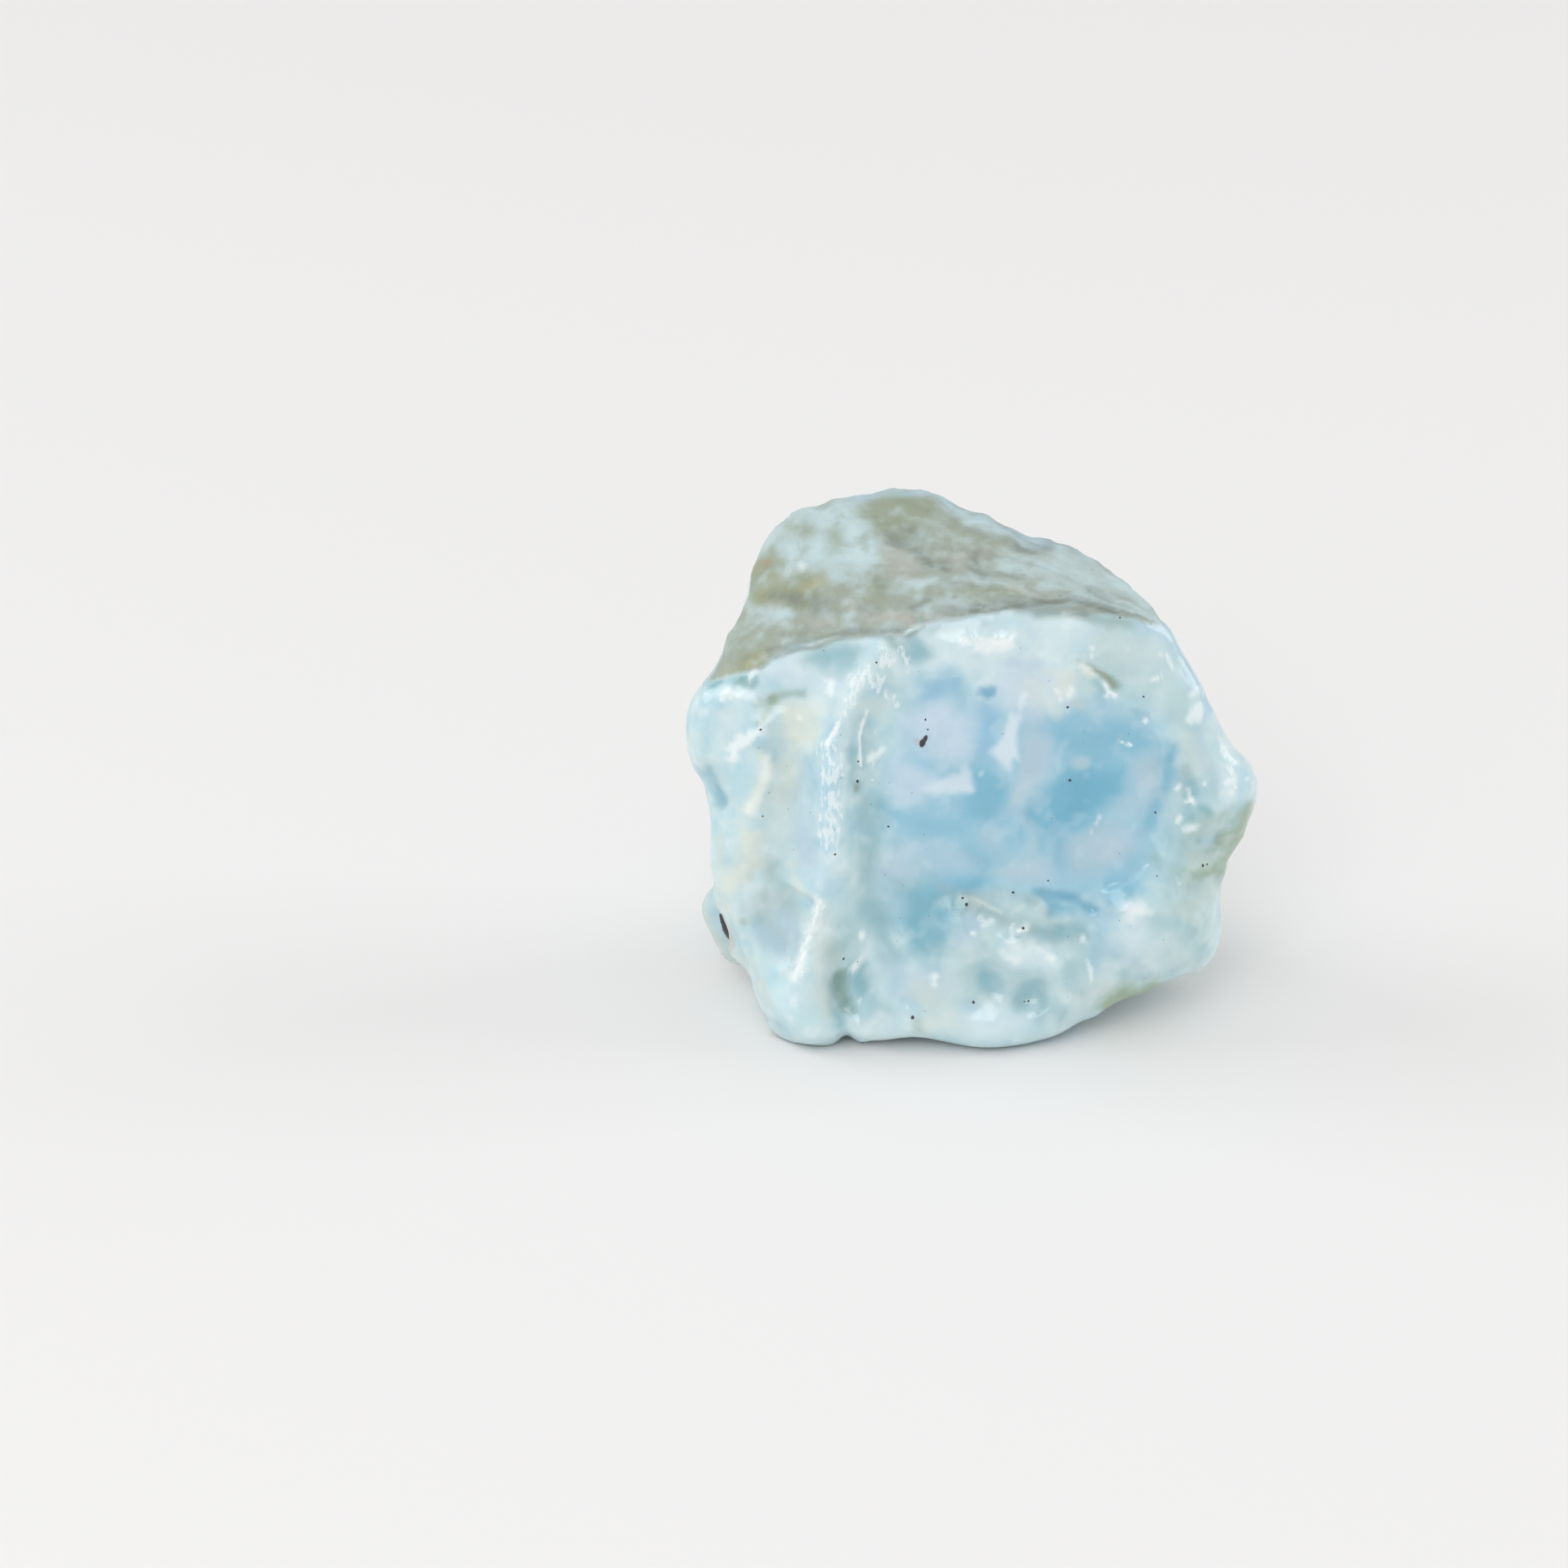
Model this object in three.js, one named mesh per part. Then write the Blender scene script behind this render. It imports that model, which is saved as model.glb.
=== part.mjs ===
// Raw larimar: a broken nugget of blue pectolite, 30 mm across, lying on the feet of its underside.
// It is one solid. A broad glossy fracture face looks forward (-Y), and a rougher seam face, where the
// stone parted from its host rock, closes it on top. The two meet in a sharp crest.
//
// The surface is where a field reaches zero. The field joins the stone's girdle, its fracture planes and
// their relief, and an even net of triangles is drawn over it.
// Millimetres, +Z up. The origin is on the table, below the middle of the finished stone. Inside this
// file, places are given before that last shift, which is about a millimetre.

import * as THREE from "three";
import { ImprovedNoise } from "three/addons/math/ImprovedNoise.js";
import { mergeVertices } from "three/addons/utils/BufferGeometryUtils.js";

// ---- Driving dimensions ----

const HEART = new THREE.Vector3(0, 0.8, 12.5); // the middle of the girdle
const GIRDLE_TILT = THREE.MathUtils.degToRad(25); // the girdle plane leans back this far from upright
const GIRDLE_ROUNDING = 1.2;
const FLANK_BLEND = 1.6; // faces run into each other over this distance
const CREST_BLEND = 0.5; // the crest between the front and the seam face is sharp
const ROOF_BLEND = 1.2;
const FRONT_BOW = 0.9; // the front is this much lower at its sides than a plane would be
const FRONT_HALF_WIDTH = 13;

// The girdle plane passes through the heart. Its axes are across (+X), up and out (forward).
const ACROSS = new THREE.Vector3(1, 0, 0);
const UP = new THREE.Vector3(0, Math.sin(GIRDLE_TILT), Math.cos(GIRDLE_TILT));
const OUT = new THREE.Vector3(0, -Math.cos(GIRDLE_TILT), Math.sin(GIRDLE_TILT));

// ---- The girdle: the stone's widest outline, anticlockwise from the point on its right ----
// [across, up, out, taper in front, taper behind]. The tapers say how fast the stone narrows away from
// the girdle.

const GIRDLE = [
  [15.1, -0.9, 2.2, 0.6, 0.45],
  [13.0, 2.0, 3.4, 0.6, 0.3],
  [11.2, 4.9, 5.4, 0.5, 0.2],
  [10.1, 7.1, 6.6, 0.4, 0.12],
  [8.4, 9.3, 4.0, 0.3, 0.15],
  [6.1, 11.1, 1.9, 0.25, 0.2],
  [2.2, 12.8, 0.2, 0.2, 0.25],
  [-3.6, 15.1, -1.5, 0.2, 0.3],
  [-8.1, 14.5, -0.9, 0.25, 0.3],
  [-11.3, 11.7, 0.5, 0.3, 0.3],
  [-12.3, 8.0, 3.4, 0.3, 0.2],
  [-14.2, 4.4, 3.6, 0.4, 0.2],
  [-15.0, 2.5, 2.6, 0.4, 0.25],
  [-14.9, 0.6, 1.8, 0.4, 0.3],
  [-14.4, -1.8, 1.4, 0.4, 0.35],
  [-13.9, -5.8, 0.8, 0.35, 0.45],
  [-12.4, -10.3, 0.8, 0.35, 0.5],
  [-11.2, -13.6, 1.6, 0.4, 0.35],
  [-8.6, -15.5, 2.2, 0.5, 0.2],
  [-6.6, -14.9, 2.0, 0.5, 0.2],
  [-2.5, -14.4, 1.6, 0.5, 0.2],
  [0.9, -15.0, 1.6, 0.5, 0.2],
  [3.9, -14.4, 1.0, 0.6, 0.2],
  [7.5, -12.4, -0.2, 0.6, 0.2],
  [10.3, -11.4, -1.2, 0.6, 0.25],
  [12.3, -10.4, -2.0, 0.6, 0.35],
  [13.1, -8.4, -1.6, 0.6, 0.4],
  [13.2, -5.2, -0.2, 0.5, 0.5],
];

// ---- The faces that the stone broke along ----
// facing: outward normal, before it is made a unit. reach: distance of the plane from the heart.

const FRONT = { name: "front", facing: [0.02, -1, 0.21], reach: 5.6 };
const OTHER_FACES = [
  { name: "front left", facing: [-0.42, -1, 0.26], reach: 8.2 },
  { name: "front right", facing: [0.75, -1, 0.1], reach: 11.4 },
  { name: "rear", facing: [-0.1, 1, 0.06], reach: 8.6 },
  { name: "rear right", facing: [0.6, 0.68, 0.3], reach: 9.2 },
  { name: "rear left", facing: [-0.7, 0.8, -0.15], reach: 11.6 },
  { name: "low on the rear left", facing: [-0.3, 0.7, -0.55], reach: 12.0 },
  { name: "low on the rear right", facing: [0.7, 0.6, -0.35], reach: 12.2 },
  { name: "rear underside", facing: [0.1, 0.6, -0.8], reach: 13.2 },
];
const ROOF_FACES = [
  { name: "left end of the roof", facing: [-0.66, -0.5, 1], reach: 12.15 },
  { name: "left of the roof", facing: [-0.178, -0.34, 1], reach: 11.35 },
  { name: "right of the roof", facing: [0.152, -0.145, 1], reach: 11.75 },
];
const UNDERSIDE = { name: "underside", facing: [0, 0, -1], reach: 12.9 };

// ---- Relief: ridges, lumps and hollows ----
// Each follows a line of points with a bell-shaped section. height is how far it stands out, negative
// for a hollow, and width is the distance from the line at which it has fallen to 0.6 of that.

// On the front. Points are [across, up] in the girdle plane.
const FRONT_RELIEF = [
  {
    name: "left ridge",
    line: [
      [-5.0, 6.0],
      [-6.6, 3.0],
      [-7.4, 0.6],
      [-7.6, -2.4],
      [-7.6, -5.0],
      [-8.6, -9.5],
      [-8.9, -12.2],
    ],
    width: 1.1,
    height: 0.75,
  },
  {
    name: "valley beside it",
    line: [[-5.3, 2.1], [-5.5, -2.2], [-5.2, -5.6], [-5.2, -9.0]],
    width: 1.1,
    height: -0.6,
  },
  { name: "toe", line: [[-9.4, -12.6], [-8.6, -14.8]], width: 1.9, height: 0.45 },
  { name: "hollow by the toe", line: [[-6.5, -10.6], [-6.3, -12.6]], width: 1.0, height: -0.6 },
  { name: "left facet", line: [[-10.6, -6.6], [-10.6, -8.8]], width: 1.4, height: -0.6 },
  { name: "left flute", line: [[-10.4, 0], [-10.8, -4.0]], width: 1.1, height: -0.4 },
  { name: "left bulge", line: [[-12.8, 2.6]], width: 1.7, height: 0.5 },
  { name: "left crease", line: [[-13.6, -1.0], [-12.8, -2.6]], width: 0.8, height: -0.4 },
  { name: "left rib", line: [[-10.8, 1.4], [-11.6, -2.4]], width: 0.8, height: 0.35 },
  { name: "window", line: [[2.4, -1.4], [5.4, -0.8]], width: 3.2, height: -0.25 },
  { name: "brow", line: [[-2.4, 6.0], [1.0, 6.4], [5.6, 6.0], [9.0, 4.6]], width: 1.3, height: 0.25 },
  { name: "pit", line: [[6.3, 5.2], [7.0, 4.5]], width: 0.7, height: -0.5 },
  { name: "lower shelf", line: [[-0.8, -8.9], [3.6, -9.8]], width: 1.7, height: 0.8 },
  { name: "lower right lump", line: [[8.4, -7.8]], width: 1.7, height: 0.7 },
  { name: "left dimple of the shelf", line: [[0.5, -10.9]], width: 0.8, height: -0.45 },
  { name: "right dimple of the shelf", line: [[2.9, -11.8]], width: 0.8, height: -0.45 },
  { name: "lower lip", line: [[-4.0, -13.2], [0, -13.6], [3.9, -13.0]], width: 0.9, height: 0.35 },
  { name: "right rim", line: [[10.8, 3.8], [11.8, 0.8], [12.0, -2.2]], width: 1.0, height: 0.35 },
  { name: "right hollow", line: [[10.0, -1.2], [10.5, -2.8]], width: 1.1, height: -0.5 },
  { name: "lower right hollow", line: [[11.6, -4.8]], width: 1.3, height: -0.5 },
];

// On the roof and on the underside. Points are [x, y].
const ROOF_RELIEF = [
  { name: "hump", line: [[-8.5, 4.5]], width: 2.6, height: 0.8 },
  { name: "dip beside it", line: [[-3.6, 1.6], [-5.4, 6.4]], width: 1.2, height: -0.35 },
];
const UNDERSIDE_RELIEF = [
  { name: "arch", line: [[-3, 0.5], [1, 0.5]], width: 3.4, height: -1.8 },
  { name: "raised right", line: [[10, -3]], width: 3.6, height: -2.6 },
  { name: "rear foot on the right", line: [[5.5, 3.8], [7.2, 3.0]], width: 1.6, height: 1.2 },
  { name: "raised left", line: [[-11.5, -3.0]], width: 1.8, height: -1.6 },
];

// Anywhere. Points are [x, y, z].
const LUMPS = [
  { name: "hollow in the rear", line: [[3.5, 9.5, 10.5], [5.5, 9, 8]], width: 2.8, height: -0.9 },
  { name: "rib on the rear", line: [[-5.5, 9.5, 21], [-1.5, 10, 15], [-3, 10, 8]], width: 1.2, height: 0.6 },
  { name: "upper hollow in the rear", line: [[2.5, 9.5, 20]], width: 2.2, height: -0.6 },
  { name: "rear foot on the left", line: [[-12.6, 1.4, 3.8], [-11.6, 1.4, 1.6]], width: 1.4, height: 2.6 },
];

// An uneven swell over the whole stone.
const SWELLS = [
  { length: 6.5, height: 0.35 },
  { length: 2.6, height: 0.14 },
];

const SWELL_BEHIND = 1.5; // times as much behind as on the front

// ---- The field ----

// The larger of two values, blended where they are less than blend apart.
function smoothMax(a, b, blend) {
  const overlap = Math.max(blend - Math.abs(a - b), 0) / blend;
  return Math.max(a, b) + (blend * overlap ** 2) / 4;
}

function withNormal(face) {
  return { ...face, normal: new THREE.Vector3(...face.facing).normalize() };
}

function distanceToSegment(point, start, end) {
  let dot = 0;
  let lengthSquared = 0;
  for (let i = 0; i < point.length; i++) {
    dot += (point[i] - start[i]) * (end[i] - start[i]);
    lengthSquared += (end[i] - start[i]) ** 2;
  }
  const share = lengthSquared > 0 ? THREE.MathUtils.clamp(dot / lengthSquared, 0, 1) : 0;
  let distanceSquared = 0;
  for (let i = 0; i < point.length; i++) {
    distanceSquared += (point[i] - start[i] - share * (end[i] - start[i])) ** 2;
  }
  return Math.sqrt(distanceSquared);
}

function reliefHeight(point, features) {
  let height = 0;
  for (const { line, width, height: full } of features) {
    let nearest = distanceToSegment(point, line[0], line[0]);
    for (let i = 1; i < line.length; i++) {
      nearest = Math.min(nearest, distanceToSegment(point, line[i - 1], line[i]));
    }
    height += full * Math.exp(-0.5 * (nearest / width) ** 2);
  }
  return height;
}

const noise = new ImprovedNoise();

function swell({ x, y, z }) {
  let height = 0;
  for (const { length, height: full } of SWELLS) {
    height += full * noise.noise(x / length, y / length, z / length);
  }
  return height;
}

// The girdle by angle: a table of the closed curve through GIRDLE, and a look-up between its rows.
const GIRDLE_STEPS = 720;
const girdleTable = (() => {
  const places = new THREE.CatmullRomCurve3(GIRDLE.map(([a, u, o]) => new THREE.Vector3(a, u, o)), true);
  const tapers = new THREE.CatmullRomCurve3(GIRDLE.map(([, , , f, b]) => new THREE.Vector3(f, b, 0)), true);
  const rows = Array.from({ length: GIRDLE_STEPS }, (_, i) => {
    const place = places.getPoint(i / GIRDLE_STEPS);
    const taper = tapers.getPoint(i / GIRDLE_STEPS);
    const angle = Math.atan2(place.y, place.x);
    return { angle, radius: Math.hypot(place.x, place.y), out: place.z, taper };
  });
  return rows.sort((a, b) => a.angle - b.angle);
})();

function girdleAt(angle) {
  let low = 0;
  let high = girdleTable.length;
  while (low < high) {
    const middle = (low + high) >> 1;
    if (girdleTable[middle].angle < angle) low = middle + 1;
    else high = middle;
  }
  const after = girdleTable[low % girdleTable.length];
  const before = girdleTable[(low + girdleTable.length - 1) % girdleTable.length];
  const turn = 2 * Math.PI;
  const span = (after.angle - before.angle + turn) % turn;
  const share = span > 0 ? ((angle - before.angle + turn) % turn) / span : 0;
  return {
    radius: THREE.MathUtils.lerp(before.radius, after.radius, share),
    out: THREE.MathUtils.lerp(before.out, after.out, share),
    front: THREE.MathUtils.lerp(before.taper.x, after.taper.x, share),
    behind: THREE.MathUtils.lerp(before.taper.y, after.taper.y, share),
  };
}

const front = withNormal(FRONT);
const otherFaces = OTHER_FACES.map(withNormal);
const roofFaces = ROOF_FACES.map(withNormal);
const underside = withNormal(UNDERSIDE);
const offset = new THREE.Vector3();

// Negative inside the stone, positive outside.
function field(point) {
  offset.subVectors(point, HEART);
  const fromPlane = ({ normal, reach }) => offset.dot(normal) - reach;
  const across = offset.dot(ACROSS);
  const up = offset.dot(UP);
  const out = offset.dot(OUT);
  const radius = Math.hypot(across, up);

  const girdle = girdleAt(Math.atan2(up, across));
  const beyond = out - girdle.out;
  const taper = beyond > 0 ? girdle.front : girdle.behind;
  const narrowing = taper * (Math.hypot(beyond, GIRDLE_ROUNDING) - GIRDLE_ROUNDING);
  const flank = (radius + narrowing - girdle.radius) / Math.hypot(1, taper);

  const fromFront = fromPlane(front) + FRONT_BOW * (across / FRONT_HALF_WIDTH) ** 2;
  const frontness = THREE.MathUtils.smoothstep(fromFront, -7, -4);
  const sole = fromPlane(underside) - reliefHeight([point.x, point.y], UNDERSIDE_RELIEF);
  const sides = [flank, fromFront, sole, ...otherFaces.map(fromPlane)];
  const body =
    sides.reduce((a, b) => smoothMax(a, b, FLANK_BLEND)) -
    frontness * reliefHeight([across, up], FRONT_RELIEF) -
    reliefHeight([point.x, point.y, point.z], LUMPS);
  const roof =
    roofFaces.map(fromPlane).reduce((a, b) => smoothMax(a, b, ROOF_BLEND)) -
    reliefHeight([point.x, point.y], ROOF_RELIEF);
  const roughness = THREE.MathUtils.lerp(SWELL_BEHIND, 1, frontness);
  return Math.max(smoothMax(body, roof, CREST_BLEND) - roughness * swell(point), -point.z);
}

// ---- The net ----

const NET_DETAIL = 21; // gives 20 * (detail + 1)^2 triangles
const SEED = new THREE.Vector3(10, 9, 5); // half sizes of the net's first ellipsoid across, up and out
const LONGEST_RAY = 14;
const RAY_HALVINGS = 16;
const SAME_CORNER = 1e-5;
const SLOPE_PROBE = 1e-3;
const SETTLED = 1e-4;
const SETTLE_STEPS = 4;
const LEAST_SLOPE_SQUARED = 0.25;
const RELAX_ROUNDS = 40;
const RELAX_SHARE = 0.7;
const ALIGN_PASSES = 4;
const SWAP_GAIN = 0.01; // how much closer to the surface a swapped edge has to lie
const LONGEST_SWAP = 1.6;
const SMALLEST_FACE = 0.04;
const LEAST_AGREEMENT = 0.1; // of the normals of two faces that share an edge
const SOLE_SNAP = 0.01; // corners lower than this lie on the table

// Sends one direction of the sphere out of the seed ellipsoid, along its normal, to the surface.
function surfacePointAbove(direction) {
  const ray = new THREE.Vector3();
  const start = HEART.clone();
  [ACROSS, UP, OUT].forEach((axis, i) => {
    const share = direction.getComponent(i);
    start.addScaledVector(axis, share * SEED.getComponent(i));
    ray.addScaledVector(axis, share / SEED.getComponent(i));
  });
  ray.normalize();
  const point = new THREE.Vector3();
  let inside = 0;
  let outside = LONGEST_RAY;
  for (let i = 0; i < RAY_HALVINGS; i++) {
    const middle = (inside + outside) / 2;
    if (field(point.copy(start).addScaledVector(ray, middle)) < 0) inside = middle;
    else outside = middle;
  }
  return point;
}

// Moves a point that is near the surface onto it, down the field's slope.
function settle(point) {
  const slope = new THREE.Vector3();
  const beside = new THREE.Vector3();
  for (let i = 0; i < SETTLE_STEPS; i++) {
    const value = field(point);
    if (Math.abs(value) < SETTLED) return;
    slope.set(
      field(beside.copy(point).setX(point.x + SLOPE_PROBE)) - value,
      field(beside.copy(point).setY(point.y + SLOPE_PROBE)) - value,
      field(beside.copy(point).setZ(point.z + SLOPE_PROBE)) - value
    );
    slope.divideScalar(SLOPE_PROBE);
    point.addScaledVector(slope, -value / Math.max(slope.lengthSq(), LEAST_SLOPE_SQUARED));
  }
}

function evenSphere() {
  const sphere = new THREE.IcosahedronGeometry(1, NET_DETAIL);
  sphere.deleteAttribute("normal");
  sphere.deleteAttribute("uv");
  return mergeVertices(sphere, SAME_CORNER);
}

// The corners that share an edge with each corner.
function neighboursOf(triangles, count) {
  const neighbours = Array.from({ length: count }, () => new Set());
  for (const [a, b, c] of triangles) {
    neighbours[a].add(b).add(c);
    neighbours[b].add(c).add(a);
    neighbours[c].add(a).add(b);
  }
  return neighbours;
}

// Draws each point towards the middle of its neighbours and back onto the surface, until the triangles
// are even.
function relax(points, triangles) {
  const neighbours = neighboursOf(triangles, points.length);
  for (let round = 0; round < RELAX_ROUNDS; round++) {
    points.forEach((point, i) => {
      const middle = new THREE.Vector3();
      neighbours[i].forEach((j) => middle.add(points[j]));
      point.lerp(middle.divideScalar(neighbours[i].size), RELAX_SHARE);
      settle(point);
    });
  }
}

// How far the middle of an edge lies from the surface.
function gapUnder(start, end) {
  return Math.abs(field(start.clone().lerp(end, 0.5)));
}

// Whether a pair of triangles may take the place of another: none is a sliver or faces away.
function canReplace(points, ...triangles) {
  const faces = triangles.map((corners) => new THREE.Triangle(...corners.map((i) => points[i])));
  const normals = faces.map((face) => face.getNormal(new THREE.Vector3()));
  const agree = normals.every((normal) => normal.dot(normals[0]) > LEAST_AGREEMENT);
  return agree && faces.every((face) => face.getArea() > SMALLEST_FACE);
}

// Swaps the edge that two triangles share for their other diagonal where that lies closer to the surface,
// so that edges run along a crest and not across it.
function alignEdges(points, triangles) {
  const neighbours = neighboursOf(triangles, points.length);
  const sides = new Map();
  triangles.forEach(([a, b, c], owner) => {
    sides.set(`${a} ${b}`, { from: a, to: b, apex: c, owner });
    sides.set(`${b} ${c}`, { from: b, to: c, apex: a, owner });
    sides.set(`${c} ${a}`, { from: c, to: a, apex: b, owner });
  });
  const swapped = new Set();
  for (const { from, to, apex, owner } of sides.values()) {
    const other = sides.get(`${to} ${from}`);
    if (swapped.has(owner) || swapped.has(other.owner) || neighbours[apex].has(other.apex)) continue;
    if (points[apex].distanceTo(points[other.apex]) > LONGEST_SWAP) continue;
    const gain = gapUnder(points[from], points[to]) - gapUnder(points[apex], points[other.apex]);
    if (gain < SWAP_GAIN) continue;
    const pair = [triangles[owner], triangles[other.owner]];
    const swap = [[from, other.apex, apex], [other.apex, to, apex]];
    if (!canReplace(points, ...pair, ...swap)) continue;
    [triangles[owner], triangles[other.owner]] = swap;
    swapped.add(owner).add(other.owner);
  }
}

function stoneGeometry() {
  const sphere = evenSphere();
  const corners = [...sphere.index.array];
  const triangles = Array.from({ length: corners.length / 3 }, (_, t) =>
    corners.slice(3 * t, 3 * t + 3)
  );
  const points = Array.from({ length: sphere.attributes.position.count }, (_, i) =>
    surfacePointAbove(new THREE.Vector3().fromBufferAttribute(sphere.attributes.position, i).normalize())
  );
  relax(points, triangles);
  for (let pass = 0; pass < ALIGN_PASSES; pass++) alignEdges(points, triangles);
  points.forEach((point) => point.setZ(point.z < SOLE_SNAP ? 0 : point.z));

  const geometry = new THREE.BufferGeometry().setFromPoints(points).setIndex(triangles.flat());
  geometry.computeBoundingBox();
  const middle = geometry.boundingBox.getCenter(new THREE.Vector3());
  return geometry.translate(-middle.x, -middle.y, 0);
}

const stone = new THREE.Mesh(
  stoneGeometry(),
  new THREE.MeshStandardMaterial({ color: 0xb4d5de, roughness: 0.25, metalness: 0 })
);
stone.name = "larimar_stone";

const group = new THREE.Group();
group.add(stone);
export default group;
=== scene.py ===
import math

import bmesh
import bpy
import numpy as np
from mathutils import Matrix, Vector, noise


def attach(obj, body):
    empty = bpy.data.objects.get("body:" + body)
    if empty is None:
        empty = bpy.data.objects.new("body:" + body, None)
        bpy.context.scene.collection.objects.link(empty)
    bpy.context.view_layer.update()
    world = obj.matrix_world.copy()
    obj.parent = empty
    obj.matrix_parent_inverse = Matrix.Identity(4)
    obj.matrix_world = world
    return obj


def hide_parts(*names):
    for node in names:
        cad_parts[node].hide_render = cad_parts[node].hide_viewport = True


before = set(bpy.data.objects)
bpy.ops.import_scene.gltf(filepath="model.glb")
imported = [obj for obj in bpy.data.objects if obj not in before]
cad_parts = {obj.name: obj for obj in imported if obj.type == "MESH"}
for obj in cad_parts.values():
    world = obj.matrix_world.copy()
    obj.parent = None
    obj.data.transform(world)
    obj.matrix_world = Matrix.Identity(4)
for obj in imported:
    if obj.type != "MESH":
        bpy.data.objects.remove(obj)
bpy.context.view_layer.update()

# Raw larimar on a pale table. The stone's fine surface is its CAD solid cut finer, with low relief
# raised on it and soft colour painted over it. Both are lists of strokes along lines, areas and spots.
# Lengths are in millimetres until a mesh is made, which is in metres.
MM = 0.001

# ---- The stone's own directions ----
# Places on the glossy face and on the seam face above it are given as (across, up): where they are
# seen against a plane through the heart that leans back by LEAN. Out is the direction that it faces.
LEAN = math.radians(25)
HEART = np.array([0.10, -0.37, 12.5])
ACROSS = np.array([1.0, 0.0, 0.0])
UP = np.array([0.0, math.sin(LEAN), math.cos(LEAN)])
OUT = np.array([0.0, -math.cos(LEAN), math.sin(LEAN)])

# The viewer, from the heart: across and up, so that the stone lies right of the middle, and out.
VIEWER = np.array([-9.95, -0.73])
VIEWER_DISTANCE = 321
LENS = 140
SENSOR = 36

# ---- Table and light ----

TABLE_SIZE = 6  # metres
TABLE_COLOUR = (0.88, 0.87, 0.866, 1)
WORLD_STRENGTH = 0.62

# Soft boxes, the last of which is the window that the glossy face reflects:
# (name, azimuth, elevation, distance, size in metres, watts).
SOFT_BOXES = [
    ("overhead", -25, 60, 900, (0.6, 0.6), 1.0),
    ("left", -105, 32, 700, (0.4, 0.4), 1.1),
    ("right", 100, 24, 700, (0.4, 0.4), 1.2),
    ("window", -14, 34, 600, (0.3, 0.22), 0.6),
]

# ---- Measures of the surface ----

CUTS = 3  # new corners along each edge of the solid's mesh
SMOOTH_ROUNDS = 12
DRAW_TOGETHER = 0.6
PUSH_BACK = -0.62

GLINT_HEIGHT = 0.2  # as a share of a glint's half width
FACE_DRIFT = 0.28  # how far noise moves the strokes of colour on the glossy face
SEAM_DRIFT = 0.25  # and on the seam face
SEAM_GLOSS = 0.12
DULL_ROUGHNESS = 0.62
GLOSSY_ROUGHNESS = 0.14
BUMP_DEPTH = 0.06

# The seam's layers all run towards a place on its right. Their noise is measured in these units.
SEAM_MEETING = (11.5, 7.3)
LAYERS_PER_RADIAN = 14
LAYER_LENGTH = 7
SEAM_STEPS = (0.45, 1.0, 1.7)  # how far above the crest the seam face steps up

# Where the front's lower edge is lifted off the table: (across, width, lift).
HOLLOWS_UNDER = [(-6.7, 0.35, 0.6), (-3.1, 1.1, 0.35)]

FINE_SPECKS = 50  # scattered over the part of the glossy face between two corners
SPECKLED = ((-12, -13), (12, 7))
REAR_GRAINS = 40
UNEVENNESS = 0.22  # of a grain's surface
OUT_OF_REACH = 9  # added to the distance of the far side, so that no listed grain goes there


def area(*corners):
    """The closed outline of an area. Points in a list are a line, or a spot if there is one."""
    return [*corners, corners[0]]


# ---- Lines on the stone ----

CREST = [(-15.5,4.6), (-13.6,5), (-12.6,5.2), (-11,5.6), (-10.6,6), (-9,6.5), (-6.9,6.9), (-5.9,7.1),
         (-3.2,7.3), (-2.5,7.9), (0.1,8.3), (1.3,8.5), (4,8.8), (5.6,8.4), (8.2,8), (9.7,7.7), (11.5,7.4)]
RIDGE = [(-4.9,6.4), (-6.4,3.4), (-7.2,0.8), (-7.6,-2.2), (-7.4,-4.5), (-7.9,-6.9), (-8.5,-9.5),
         (-9.1,-11.4)]
FISSURE = [(-8.1,6.6), (-5.9,7.15), (-3.1,7.35), (-2.1,7.95)]
FISSURE_ON_THE_RIGHT = [(-0.1,8.3), (4,8.85), (6.7,8.5), (9.7,7.8)]
UNDER_FISSURE = [(2.4,8.55), (3.6,8.55), (4.8,8.45), (5.8,8.3)]
CRACK = [(3.6,-6.4), (5.2,-6.6), (6.3,-7.3)]
CREASE = [(-14.15,-0.3), (-13.75,-1), (-13.35,-1.85)]
SLIT = [(5.3,5.8), (6.1,5.6), (6.8,5.1), (7.5,4.6)]
RIB = [(-10.8,0.6), (-10.8,-0.3), (-11.2,-1.3), (-11.7,-2.2)]
ARC = [(-5.6,3.1), (-5.95,1.7), (-5.85,0.2)]
STREAK = [(-7.6,1.2), (-7.4,-0.4), (-7.4,-2.2), (-7.6,-3.6)]
FACET_EDGE = [(-8.1,-7), (-8.3,-8), (-8.8,-9.4), (-9.3,-11)]
LEFT_LUMP = [(-13.8,-7.4), (-13.5,-8.6), (-12.8,-9.7)]  # behind the face's lower left edge
INCLUSION = [(-12.8,-8.2), (-12.6,-8.8), (-12.4,-9.2)]  # dark, between the face and this lump

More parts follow.
